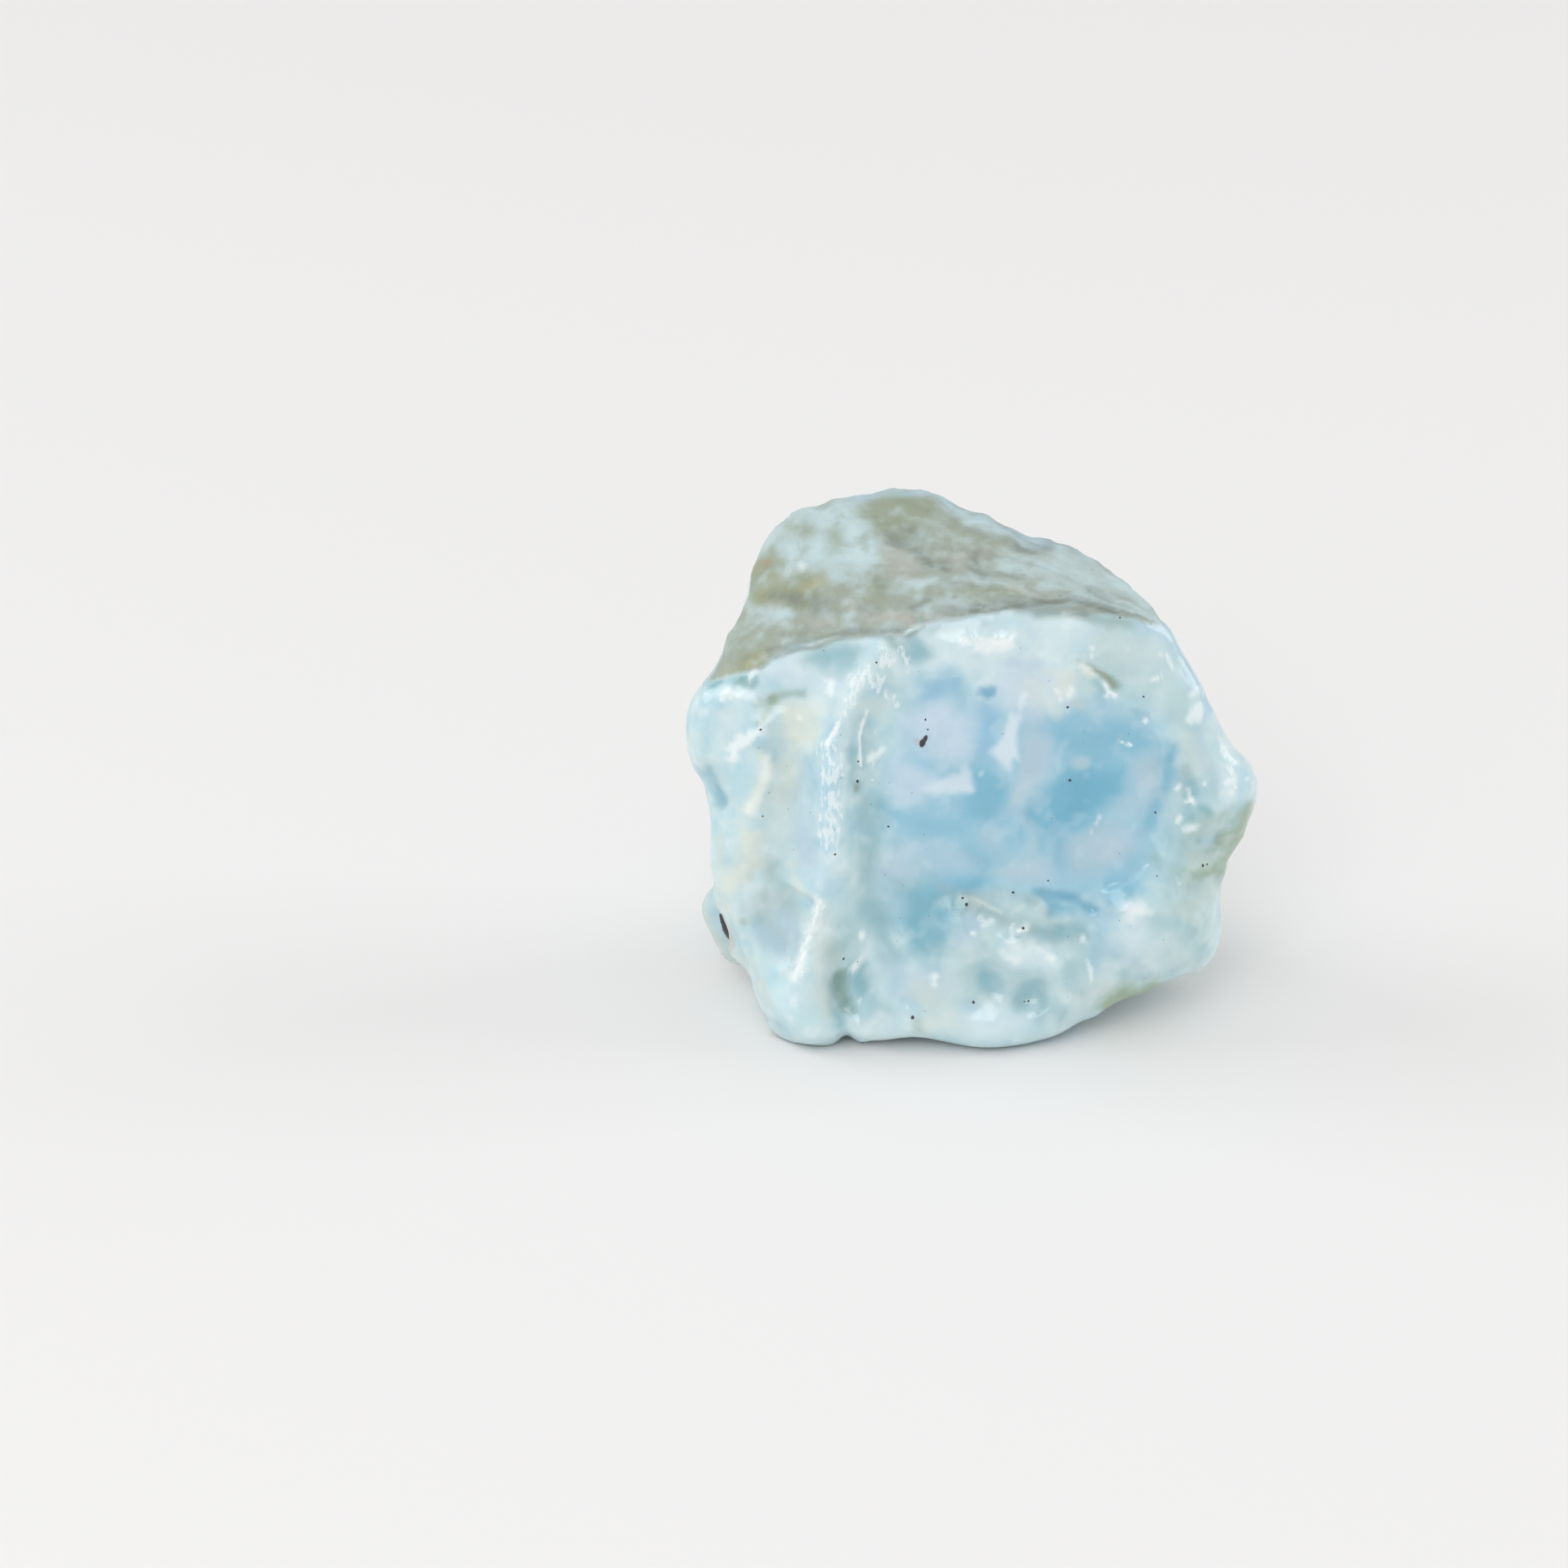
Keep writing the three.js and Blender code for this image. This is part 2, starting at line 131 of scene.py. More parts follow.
# ---- Relief on the glossy face: (line, width, height) with a bell-shaped section ----
FACE_RELIEF = [
    (RIDGE, 0.5, 0.22), ([(-5.5,2.1), (-5.5,-2.2), (-5.3,-5.6), (-5.1,-8.4)], 0.6, -0.2),
    ([(-9.9,3.4), (-10,-1), (-10.3,-4.4)], 0.8, -0.16), ([(-4,3), (-4.1,-1), (-3.8,-5)], 0.7, 0.08),
    (ARC, 0.12, 0.08), ([(-0.6,6.6), (2.3,6.7)], 0.6, 0.12), ([(-13.9,3.4), (-12.8,3.9)], 0.7, 0.14),
    ([(-11.5,1.6), (-12.6,0.7)], 0.3, 0.1), ([(1.6,-9.3), (2.8,-9.6)], 0.7, 0.24), ([(0.7,-8)], 0.35, 0.16),
    ([(2.5,-8.4)], 0.3, 0.14), ([(-2.1,-10.9)], 0.35, 0.16), ([(-6.1,-10.1)], 0.4, 0.18),
    ([(8.4,-7.6)], 1, 0.22), ([(11.6,3)], 0.36, 0.16), ([(11.5,4.2)], 0.28, 0.1), ([(13.5,0)], 0.6, 0.14),
    ([(11.4,-3)], 0.3, 0.12), ([(6.3,5.5), (7.4,4.6)], 0.12, -0.14), ([(5.9,5.4), (6.4,5)], 0.2, 0.1),
    ([(7.1,4.3)], 0.3, 0.14), (CREASE, 0.35, -0.3), (RIB, 0.25, 0.14),
    ([(-13,0.5), (-11.9,-0.4), (-12.4,-1.6)], 0.6, -0.1), (CRACK, 0.15, -0.1),
    ([(-7.05,-11.3), (-6.9,-12.5)], 0.4, -0.5), ([(-5.8,-10.8), (-5.8,-11.8)], 0.45, -0.3),
    ([(-4.9,-12.5)], 0.5, -0.12), ([(0.8,-10.8), (1.2,-11.4)], 0.5, -0.18),
    ([(2.6,-11.7), (3.4,-11.6)], 0.6, -0.2), ([(-13.4,-7.7), (-12.8,-8.9)], 0.25, -0.25),
    ([(-8.3,6), (-6.6,6.1)], 0.5, -0.1), ([(-3.9,-7.6), (-3.4,-10.2), (-1,-11.6)], 0.5, 0.14),
    ([(4,-13.2), (5,-11.6), (4.2,-10.2)], 0.5, 0.14), ([(6.3,-8.9), (6.1,-10.8)], 0.4, 0.1),
    ([(10.3,7), (11.4,5.4), (12.2,3.2)], 0.18, 0.1), ([(9.4,-8.2), (10.9,-7.6)], 0.5, -0.15),
    ([(-8.6,-14.2)], 0.7, 0.15), ([(0.6,-14.3)], 0.9, 0.15),
]

# Relief on the seam face: its fissures, and then most of it along the far edge, which it scallops.
SEAM_RELIEF = [
    (FISSURE, 0.1, -0.065), (FISSURE_ON_THE_RIGHT, 0.1, -0.065),
    ([(-7.9,14.3), (-7.2,14.5), (-5.8,14.6)], 0.7, -0.38), ([(-1.2,13.9), (-0.2,13.6)], 0.45, -0.3),
    ([(1.5,13.1), (2.9,12.5)], 0.45, -0.32), ([(4.2,12.2), (5,11.8)], 0.4, 0.1),
    ([(-2.4,10.8), (-1.4,10.7)], 0.5, -0.2), ([(2.6,11.7), (4,11.7)], 0.4, -0.2),
]

# Relief that goes on round the edge, as it is seen from in front, and onto the far side.
EDGE_RELIEF = [
    ([(-12.3,-10.8), (-12,-12.1), (-11.3,-13.2), (-10.6,-13.9)], 0.8, -0.42),
    ([(-13.2,5.8), (-13.6,5.2)], 0.5, -0.2), ([(-13.9,-2.8), (-13.9,-4)], 0.5, -0.2),
    ([(13,-5.2), (13.6,-4.4), (14.2,-3.6)], 0.5, 0.35),
    ([(6.6,-12.9), (7.6,-12.4), (8.8,-11.9)], 0.5, 0.28), ([(12.6,3.6), (13.9,1.2)], 0.4, -0.12),
    ([(7.2,10.2), (8.6,9.4), (9.7,8.2)], 0.5, -0.25),
]

# Ledges: (line, height, reach). The side to the right of the line's direction stands out.
LEDGES = [
    ([(-0.8,-6.5), (0.8,-7), (2.6,-7.8)], 0.16, 1.2),
    ([(1.8,-7.5), (3.6,-8.1), (5.8,-8.6), (6.6,-9.9)], 0.14, 1.6),
    ([(-10.6,-6), (-9.7,-6.1), (-8.1,-7), (-8.8,-9), (-9.4,-11.2)], -0.2, 1.1),
    ([(-3,3.9), (-2.6,5), (-0.2,5.1)], 0.1, 0.8), ([(7.6,3.4), (9.2,3), (9.9,1.2), (9.7,-1.8)], -0.16, 1.2),
    ([(9.7,-4.6), (8.2,-5.9), (6.6,-6.4)], -0.14, 1.2),
    ([(-3.6,-8.6), (-2.2,-9.8), (0.2,-9.9), (1.4,-9)], 0.14, 1.4),
]

# ---- Painted reflections and highlights, which look pale: (points, half width or edge, strength) ----

# Two broad painted reflections, lavender-white, the first like a fish's tail and the second like a blade.
PAINTED_REFLECTIONS = [
    (area((-2.9,-1.05), (-2.1,-0.65), (-1.3,-0.35), (-0.7,-0.2), (-0.4,0.35), (-0.15,-0.1), (0,-1.15),
     (-0.6,-1.05), (-1.2,-1.25), (-2,-1.3)), 0.15, 0.65),
    (area((1.9,3), (2.6,3), (2.35,2.1), (2.3,1.4), (2.4,0.5), (2.1,0.6), (1.9,0.05), (1.5,0.3), (1.25,0.7),
     (0.8,0.9), (1.15,1.25), (1.5,1.6), (1.7,2.1)), 0.15, 0.8),
]

# Glints, the small ones: painted highlights, each on a slight bump.
GLINTS = [
    (ARC, 0.07, 0.9), (RIB, 0.2, 0.3), ([(2.7,3.9), (2.45,3.2)], 0.14, 0.4),
    ([(-13.1,3.75), (-12.6,4.1)], 0.24, 0.75), ([(-11.8,4.9), (-11.5,5.2)], 0.12, 0.8),
    ([(-11.2,2.1), (-12,1.7), (-12.6,1.1), (-12.6,0.5)], 0.26, 0.75), ([(-7.5,4.5), (-7.5,4.1)], 0.2, 0.8),
    ([(-4.85,1.05), (-5.35,0.55)], 0.15, 0.7), ([(-5.15,2)], 0.1, 0.7), ([(-5.2,0.2)], 0.08, 0.7),
    ([(-9.2,2.75)], 0.1, 0.6), ([(0.6,-8), (0.9,-7.95)], 0.16, 0.5), ([(2.3,-8.5), (2.8,-8.3)], 0.16, 0.7),
    ([(0,-8.55)], 0.1, 0.9), ([(3.5,-9.35), (4.1,-9.8)], 0.18, 0.6), ([(2,-9.1), (3.2,-9.2)], 0.22, 0.35),
    ([(1.6,-9.5), (2.3,-10)], 0.2, 0.4), ([(-2.05,-11.2), (-2,-10.8)], 0.18, 0.95),
    ([(-6.2,-10.3), (-5.95,-9.95)], 0.2, 0.9), ([(-5.9,-8.75)], 0.13, 0.9),
    ([(6,-10), (6.25,-11.1)], 0.09, 0.7), ([(-7,2.4), (-7.4,1.9), (-7.6,1.4)], 0.09, 0.8),
    (FACET_EDGE, 0.26, 0.45), (STREAK, 0.5, 0.2),
    ([(-5.6,5.2), (-6.3,4.4), (-6.7,3.4), (-7,2.5)], 0.3, 0.15),
    (area((-0.1,6.3), (0.3,7), (1.2,6.9), (2.2,7.2), (2.1,6.5), (1.2,6.3), (0.5,6.2)), 0.14, 0.75),
    ([(-0.5,6.8)], 0.22, 0.6), ([(5.8,-8.85)], 0.14, 0.7),
    (area((7.8,-7.7), (8.3,-7), (9,-7.1), (9.2,-7.6), (8.5,-7.8)), 0.3, 0.7),
    (area((11.1,2.6), (11.4,3.2), (11.9,3.6), (12.1,3), (11.9,2.5), (11.5,2.4)), 0.08, 0.6),
    (area((11.4,3.9), (11.4,4.3), (11.8,4.3), (11.8,3.9)), 0.12, 0.6), ([(4.4,4.2), (4.6,3.75)], 0.1, 0.65),
    ([(5.1,4.3), (5.05,3.8)], 0.13, 0.65), ([(5,3.05)], 0.08, 0.9), ([(5.75,5.55), (5.9,5.35)], 0.12, 0.6),
    ([(6.3,6.4)], 0.1, 0.8), ([(6.2,6)], 0.07, 0.7), ([(6.9,4.6), (7.1,4.2), (7.5,3.9)], 0.1, 0.9),
    ([(7,3.9)], 0.12, 0.6), ([(7.8,1.5), (8.35,1.3)], 0.06, 0.8), ([(9.1,2.55)], 0.09, 1),
    ([(6.45,-2.85), (6.65,-2.5)], 0.08, 0.6), ([(6.2,-3.2)], 0.07, 0.7), ([(0.4,-0.2)], 0.1, 0.35),
    ([(10.7,-1), (10.9,-0.8)], 0.1, 0.8), ([(11.1,-1.7), (11.5,-1.6), (11.7,-1.8)], 0.09, 0.8),
    ([(11.3,-1), (11.45,-1.5)], 0.07, 0.6), ([(10.75,-2.7), (10.9,-2.4)], 0.1, 0.75),
    ([(11.35,-3.1), (11.65,-3)], 0.16, 0.75), ([(12.2,-0.7)], 0.09, 0.8),
    ([(13.3,-0.7), (13.6,-0.5)], 0.12, 0.5), ([(13.6,-1.2)], 0.15, 0.5),
    ([(13.1,1.6), (13.4,0.9), (13.8,0.3)], 0.12, 0.5), ([(14.4,-0.5)], 0.09, 0.7),
    ([(9.5,4.8), (9.9,4.9)], 0.07, 0.7), ([(10.2,6), (10.5,5.4)], 0.07, 0.7), ([(9.9,6.1)], 0.1, 0.6),
    ([(8.1,6.4)], 0.1, 0.4), ([(-9.4,-12.2)], 0.2, 0.5), ([(-9.6,-13.2)], 0.25, 0.4),
    ([(-8,6.75), (-8.6,6.6)], 0.07, 0.3),
]

# Strips and patches of painted highlight, broken up like lace, where the material is also bumpier.
LACE = [
    (STREAK, 0.75, 1), ([(-7.3,2), (-6.8,3), (-6.4,3.8)], 0.2, 1),
    ([(-6.4,3.7), (-6.1,4.4), (-6.3,4.8)], 0.35, 1), ([(-6.1,4.4), (-5.5,4.9)], 0.35, 1),
    ([(-5.5,5.3), (-4.9,5.6)], 0.5, 1), ([(-4.6,6.3), (-4.5,5.3)], 0.3, 1),
    ([(-4.2,6.3), (-4.35,5.4)], 0.2, 1), ([(-3.65,6.5), (-3.5,5.3)], 0.3, 1),
    ([(-5.1,4.4), (-4.7,4.8)], 0.3, 1), ([(-4.6,4.1), (-4,3.5)], 0.4, 1),
    ([(-0.5,6.7), (0.8,6.75), (2,6.8)], 0.25, 1), (FACET_EDGE, 0.4, 1), ([(-6,-0.5), (-4.9,-0.6)], 0.14, 1),
    ([(13.2,1), (13.8,-0.9)], 0.25, 1),
]

# ---- Colour, as display values from 0 to 255 ----

PALETTE = {
    "milk": (201, 224, 227), "white": (224, 237, 241), "glint": (243, 249, 249),
    "lavender": (203, 221, 235), "pearl": (186, 206, 216), "cloud": (178, 205, 220),
    "violet": (148, 194, 222), "sky": (152, 200, 219), "blue": (122, 184, 208), "deep": (108, 172, 199),
    "azure": (104, 171, 203), "aqua": (190, 224, 232), "teal": (136, 183, 192), "grey": (188, 214, 216),
    "ash": (160, 184, 186), "green": (127, 160, 149), "leaf": (150, 171, 138), "olive": (148, 152, 112),
    "cream": (224, 230, 219), "sand": (208, 214, 203), "rust": (186, 140, 100), "seam": (160, 170, 160),
    "ice": (193, 215, 218), "moss": (149, 160, 138), "shade": (124, 134, 126), "blush": (184, 184, 177),
    "gold": (188, 184, 146), "grain": (34, 28, 36), "light grain": (84, 76, 80),
}

# The blue area in the middle of the glossy face.
BLUE_AREA = area((-3.2,4.7), (-0.6,5.1), (0.6,3.9), (4,2.8), (5.2,3.3), (8,3.2), (9.4,2.9), (10.6,1.5),
                 (10.5,-1.5), (9.8,-4.6), (9,-6.4), (6.8,-7.3), (3.4,-6.7), (-0.4,-6.3), (-1.4,-8.2),
                 (-2.1,-9.6), (-3,-9.2), (-3.3,-6.4), (-3.4,-4.6), (-4.5,-2.9), (-4.6,-1.8), (-3.7,0.8),
                 (-3.5,2.6))

# Each colour lies over the ones before. Its patches are (points, half width or edge, strength): areas
# with a soft edge, lines and spots.
FACE_PAINT = [("white", [
    (area((-3.6,7.6), (0,8.4), (6,8.6), (9.4,7.7), (10.2,6.4), (8.6,5.2), (5.6,5.8), (4.4,5), (1.6,5.2),
     (-0.4,5.2), (-2.4,5.3), (-3.4,5.8)), 0.7, 0.45),
]), ("grey", [
    (area((-10.6,2.6), (-8.6,2.2), (-8.8,-0.6), (-9,-4.4), (-9.4,-6.4), (-10.8,-5.6), (-11,-3),
     (-10.6,0)), 0.7, 0.5),
    (area((10,4.6), (12.4,4.4), (13,2.2), (12.4,-1.6), (11.8,-5.4), (10.6,-6.2), (10.4,-2.4), (10.8,1.6),
     (9.4,3.4)), 0.8, 0.8),
    (area((6.6,7.4), (9.6,7.4), (11.4,6.4), (12.6,3.6), (11.6,3.4), (9.6,3.2), (7.4,3.6),
     (5.6,4.6)), 0.7, 0.75),
    (area((-6.4,-4), (-5,-4), (-4.2,-8.4), (-5.4,-9.6), (-6.8,-9.6), (-6.8,-6.4)), 0.6, 0.5),
    (area((-3.6,-9.4), (0.6,-8.4), (2,-10.6), (4.8,-9.8), (7,-9.4), (6.6,-12), (1.6,-12.4),
     (-2.4,-12.4)), 0.7, 0.6), (area((9.4,-5.6), (12.4,-6.4), (12,-10.6), (9.6,-10.8), (8.8,-8)), 0.7, 0.6),
    (area((-0.8,-6.6), (2,-6.3), (5.4,-7.4), (6.6,-8.8), (6.2,-10.6), (4.8,-9.6), (3.2,-8.6), (1,-8.4),
     (-0.8,-7.6)), 0.5, 0.9),
]), ("sky", [
    (BLUE_AREA, 1.6, 0.4), (BLUE_AREA, 0.8, 0.8),
    (area((-8.9,0.9), (-8.1,0.4), (-8.2,-3.9), (-8.9,-3.9)), 0.5, 0.5),
    ([(-7.3,2.4), (-7.6,-1), (-7.7,-4)], 0.45, 0.75), ([(6.6,-8.6), (6.3,-10.2)], 0.4, 0.5),
]), ("teal", [
    (area((-6.9,3.4), (-5.6,2.6), (-5.3,0.6), (-5.4,-0.4), (-6.6,-0.6), (-6.8,1.4)), 0.5, 0.4),
    ([(-6.4,1), (-6.2,-1)], 0.3, 0.4),
    (area((-6.2,-0.8), (-5,-1.3), (-4.7,-2.6), (-5,-4.4), (-5,-6.4), (-4.4,-8.2), (-5.4,-8), (-5.8,-5.6),
     (-5.9,-3)), 0.4, 0.6), ([(-3.3,-9.1), (-2.9,-9.3)], 0.4, 0.4),
]), ("blue", [
    (area((-4,-6), (-0.2,-5.5), (0.8,-6), (-0.6,-7.6), (-1.9,-9.2), (-3.4,-9.3), (-3.9,-7.4)), 0.7, 0.35),
    (area((4.2,2.7), (5.2,3), (7.6,2.9), (9.3,2.6), (9.4,1.2), (8,0.5), (6.4,0.3), (5,0.4),
     (4.3,1.4)), 0.45, 0.62),
    (area((4.9,0.2), (6.4,0.1), (8.1,0.2), (8.1,-1), (7,-2.1), (5.6,-3.1), (4.2,-3.5), (3,-2.7), (3.6,-1.4),
     (4.5,-0.4)), 0.5, 1),
    (area((3.2,-2.5), (4.8,-3), (5,-4.6), (4.5,-5.4), (3.8,-4.7), (2.2,-3.7), (1.7,-3)), 0.45, 0.6),
    (area((-0.2,0.5), (1.2,0.1), (2.1,-0.4), (1.9,-1.9), (0.9,-2.7), (-0.5,-2.6), (-0.2,-1.2)), 0.4, 0.75),
    (area((-4.9,-1.9), (-2.6,-2.4), (0,-2.9), (-0.4,-3.6), (-2.6,-3.1), (-4.4,-2.8)), 0.4, 0.42),
    (area((-0.3,-4), (0.6,-4.4), (1.6,-4.8), (0.4,-5.2), (-0.6,-4.7)), 0.3, 0.5),
    (area((-3.3,-6.4), (-0.8,-5.6), (0.7,-5.5), (0.5,-6.2), (-0.7,-6.9), (-0.9,-7.6), (-1.7,-8.1),
     (-2.4,-9.2), (-3.1,-8.9), (-3.2,-7.9)), 0.45, 1),
    (area((7.1,-5.7), (8.6,-4.9), (8.8,-6.3), (7,-6.8)), 0.5, 0.5),
    ([(8.8,-3.3), (9.3,-2.6), (9.7,-1.9)], 0.3, 0.6), ([(10.5,1.3), (10.4,0.3), (10.2,-0.9)], 0.3, 0.9),
    (CREASE, 0.3, 0.7), (area((3.4,-6.4), (4.6,-6.7), (5.4,-7.2), (4.6,-7.4), (3.9,-7.5)), 0.25, 0.9),
    ([(6.6,3.9), (7.1,3.8)], 0.3, 0.35),
]), ("violet", [
    (area((-2.7,3.5), (-2.5,4.2), (-1.9,4.9), (-1.1,5.2), (-0.5,4.9), (-0.6,4.5), (-1.3,4.3), (-1.9,3.9),
     (-2.3,3.4)), 0.35, 0.7), ([(-1.6,4.6), (-0.8,4.6)], 0.3, 0.3),
    (area((0.3,3.4), (1.3,3.3), (1.2,2.2), (0.9,0.8), (0.1,0.9), (0.2,2.2)), 0.3, 0.7),
    (area((3,2.2), (3.6,2.6), (4.1,1.4), (3.4,1.3)), 0.3, 0.5), ([(-2.6,0.9), (-2.7,0)], 0.25, 0.5),
    ([(1.8,-2.4), (2.6,-3.3)], 0.3, 0.3),
]), ("cloud", [
    (area((2.5,3.3), (3.8,3), (3.6,2), (4.4,0.6), (4,-0.2), (3.1,-1.1), (2.3,-2.1), (1.8,-2.4), (2,-1.2),
     (2.7,0.2), (2.6,1.4)), 0.4, 0.9),
    (area((5,-3.7), (6.4,-3.1), (7.6,-2.7), (8.8,-3.4), (8.7,-4.4), (7.4,-5.1), (6.8,-5.7), (5.2,-5.7),
     (4.8,-4.8)), 0.45, 0.9),
    (area((0.9,-5), (2.4,-4.9), (4.2,-4.5), (4.5,-5.5), (3,-5.9), (1,-5.7)), 0.35, 0.75),
    (area((-4.4,-3.6), (-1,-4), (0.1,-4.7), (-0.2,-5.3), (-2.6,-5.5), (-3.7,-6.2), (-4.6,-5.4)), 0.45, 0.8),
    (area((0.3,-3.3), (1.4,-3.2), (1.3,-3.9), (0.4,-4)), 0.3, 0.7), ([(5.3,0.6), (5.7,0.4)], 0.3, 0.35),
    (area((8.3,0.3), (9.6,0.9), (9.9,-1.2), (8.8,-2.2), (7.6,-2.7), (7.8,-1.5)), 0.45, 0.65),
    (area((-4.8,-5), (-3.6,-5.4), (-3.7,-7.4), (-4.5,-7.6)), 0.4, 0.6),
    ([(6.6,-7.6), (7.8,-7.3)], 0.4, 0.4), ([(5.4,3.4), (6.8,3.4), (6.8,2.9)], 0.4, 0.5),
]), ("pearl", [
    (area((2.7,1.8), (3.9,1.6), (4.1,0.4), (3,-0.9), (2.1,-1.9), (2.3,-0.6)), 0.4, 0.6),
    (area((5.2,-3.6), (6.6,-3), (8,-3.4), (7.6,-4.6), (5.8,-5)), 0.5, 0.6),
    ([(1.2,-5.3), (3.6,-5.1)], 0.3, 0.4), ([(2.6,-2.6), (3.2,-3.6), (3,-4.2)], 0.35, 0.5),
    ([(8.6,-0.2), (9.4,-0.4)], 0.5, 0.3),
]), ("lavender", [
    (area((-3.3,2.7), (-2.6,3.4), (-1.2,3.5), (-0.1,3.1), (0,1.6), (-0.3,0.8), (-1.4,0.5), (-2.4,0.9),
     (-3.5,1.4)), 0.55, 0.8), ([(-3.2,2.5), (-1.9,3.1), (-1.2,2.6)], 0.5, 0.6), ([(-1.5,0.2)], 0.3, 0.5),
    (area((-4.4,0.5), (-2.9,0.1), (-1.6,-0.5), (0,-0.7), (-0.1,-1.2), (-2.2,-1.4), (-2.7,-1.9), (-4,-1.8),
     (-4.4,-0.8)), 0.35, 0.8),
    (area((1.3,5.4), (4,5.4), (4.9,4.4), (4.8,3.4), (3.6,2.9), (2.4,3.2), (1.4,3.3), (1.1,4.4)), 0.5, 0.75),
    (area((-11,5.8), (-9.6,5.9), (-8.9,5), (-7,4.9), (-6.4,5.2), (-6.2,4.6), (-9,4.3),
     (-10.9,4.6)), 0.4, 0.45),
    (area((-9.2,-3.2), (-8.4,-4.2), (-7.4,-6.2), (-8,-6.6), (-9.4,-5)), 0.5, 0.4),
    ([(-3.7,0.9), (-4.1,0.5)], 0.25, 0.5),
]), ("deep", [
    (area((5.3,-0.4), (7.2,-0.6), (6.6,-1.6), (5.4,-2.6), (4.4,-3), (4.4,-1.8)), 0.5, 0.45),
    (CRACK, 0.25, 0.9), (area((3.3,-6.3), (4.3,-6.5), (4.4,-7), (4,-7.4), (3.6,-6.9)), 0.2, 0.8),
    ([(-2.9,-7), (-2.3,-8.2)], 0.5, 0.5), ([(3.4,-1.2), (2.9,-2.4)], 0.3, 0.4),
    ([(4.3,-3.2), (5.1,-3)], 0.35, 0.35),
]), ("ash", [
    (area((-11.2,-6.2), (-9.9,-6.1), (-8.6,-7.1), (-8.9,-8.6), (-9.6,-10.1), (-10.4,-9.6), (-11.4,-8.6),
     (-11.9,-7.4)), 0.4, 0.6), (area((-10.9,-4.4), (-10.2,-4.8), (-10,-6), (-10.8,-6)), 0.3, 0.6),
    ([(-0.9,-6.9), (0.3,-7.2), (1.8,-7.9), (2.8,-8.2)], 0.4, 0.7), ([(5.6,-12), (6.6,-11.6)], 0.5, 0.45),
    ([(-2.3,7.4), (-1,7.6), (0.4,7.8)], 0.3, 0.35), ([(-10.9,-6.8), (-10,-7.2)], 0.4, 0.35),
    ([(2.2,-6.7), (3,-7)], 0.3, 0.4), (area((3,-8.2), (5.6,-8.2), (6,-8.9), (4.2,-9)), 0.35, 0.9),
    ([(-0.3,-7.3), (0.6,-7.6)], 0.4, 0.7), ([(2,-8.5), (2.6,-8.9)], 0.25, 0.4),
    ([(-8,-7.8), (-8.3,-9.4)], 0.25, 0.4), ([(2.6,-12.4), (3.4,-12.5)], 0.35, 0.4),
    ([(-7.6,7), (-9.4,6.4)], 0.2, 0.4), ([(11.2,0.4), (11.3,-1.2)], 0.35, 0.5),
]), ("cloud", [
    ([(-9.9,-7.9), (-9.3,-8.4), (-9.6,-9.6), (-10.6,-9.2), (-11.2,-8.6)], 0.5, 0.6),
    (area((-5,-9.6), (-3.2,-10), (-1.8,-10.4), (-2.2,-11.6), (-3.6,-12.2), (-4.6,-11.4)), 0.5, 0.6),
    ([(-9.3,-1), (-9.2,-2.6), (-8.8,-4.4)], 0.5, 0.5), ([(6.6,-9.2), (7.6,-9.6), (8.6,-9)], 0.6, 0.35),
    (area((7.4,7), (9.4,6.8), (10.4,5.8), (9.6,5.2), (8,5.6)), 0.5, 0.4),
    ([(-2.6,7.6), (-1.2,7.8), (0.2,8.1)], 0.25, 0.5), ([(-0.4,-12.4), (0.8,-13), (2.6,-12.9)], 0.5, 0.3),
]), ("aqua", [
    (area((-13.2,0.8), (-11.9,1), (-11.3,-0.2), (-11.9,-1.4), (-13,-1.4)), 0.5, 0.9),
    (area((-11.4,-10.2), (-9.8,-10.9), (-8.6,-12), (-8.2,-13.4), (-9.6,-13.8), (-10.6,-12.2)), 0.5, 0.7),
    ([(0.6,-13.4), (2.6,-13.6), (3.4,-12.4)], 0.8, 0.4),
]), ("white", [
    (area((1.4,-9), (2.6,-8.6), (4.1,-9.2), (4.3,-10.2), (3.4,-10.6), (2,-10.2)), 0.3, 0.7),
    (area((7.3,-8.2), (8.6,-7.1), (9.8,-7.9), (9.6,-9.8), (7.6,-9.8)), 0.6, 0.4),
    (area((-1.5,-12.6), (1.8,-12.6), (3.2,-13.4), (1.2,-14.6), (-0.8,-14)), 0.5, 0.25),
    (area((-5.4,-13.3), (-4.2,-13.9), (-5.8,-13.8)), 0.4, 0.6), ([(9.7,3), (10,4)], 0.4, 0.3),
    (area((-9.9,-11.2), (-8.6,-11.5), (-8.9,-12.9), (-9.8,-12.8)), 0.4, 0.5),
    (area((13,1.2), (13.9,0.2), (14,-1.8), (13.4,-1.6), (12.8,0.4)), 0.4, 0.35),
    (area((-13.5,2.9), (-11.9,3.4), (-11.6,2.2), (-13.4,1.8)), 0.5, 0.5),
    ([(3.9,-10.6), (4.4,-12), (4.2,-13.3)], 0.4, 0.4),
    ([(-3.6,-9.2), (-3.2,-10.8), (-1.4,-11.8)], 0.5, 0.35), ([(-3.3,4.9), (-3.1,4.2)], 0.4, 0.4),
]), ("cream", [
    (area((-10.4,3.4), (-8.4,3.4), (-8,2.2), (-8.6,1.3), (-9.4,1.2), (-10.3,2.2)), 0.45, 0.8),
    ([(-9.5,1.4), (-9.7,0.2), (-10,-1.6)], 0.4, 0.4), ([(-8.2,3.2), (-7.9,2.4)], 0.35, 0.4),
    (area((-12.2,-3), (-11.3,-3.4), (-11.2,-4.8), (-11.8,-6), (-13.1,-6.6), (-13.2,-5.4),
     (-12.2,-4.4)), 0.4, 0.9), ([(-12.9,-7.2), (-12.3,-7.9)], 0.4, 0.6), (RIB, 0.27, 0.85),
    ([(-9.6,-4.9), (-9.1,-6.1), (-8,-6.9)], 0.22, 0.55),
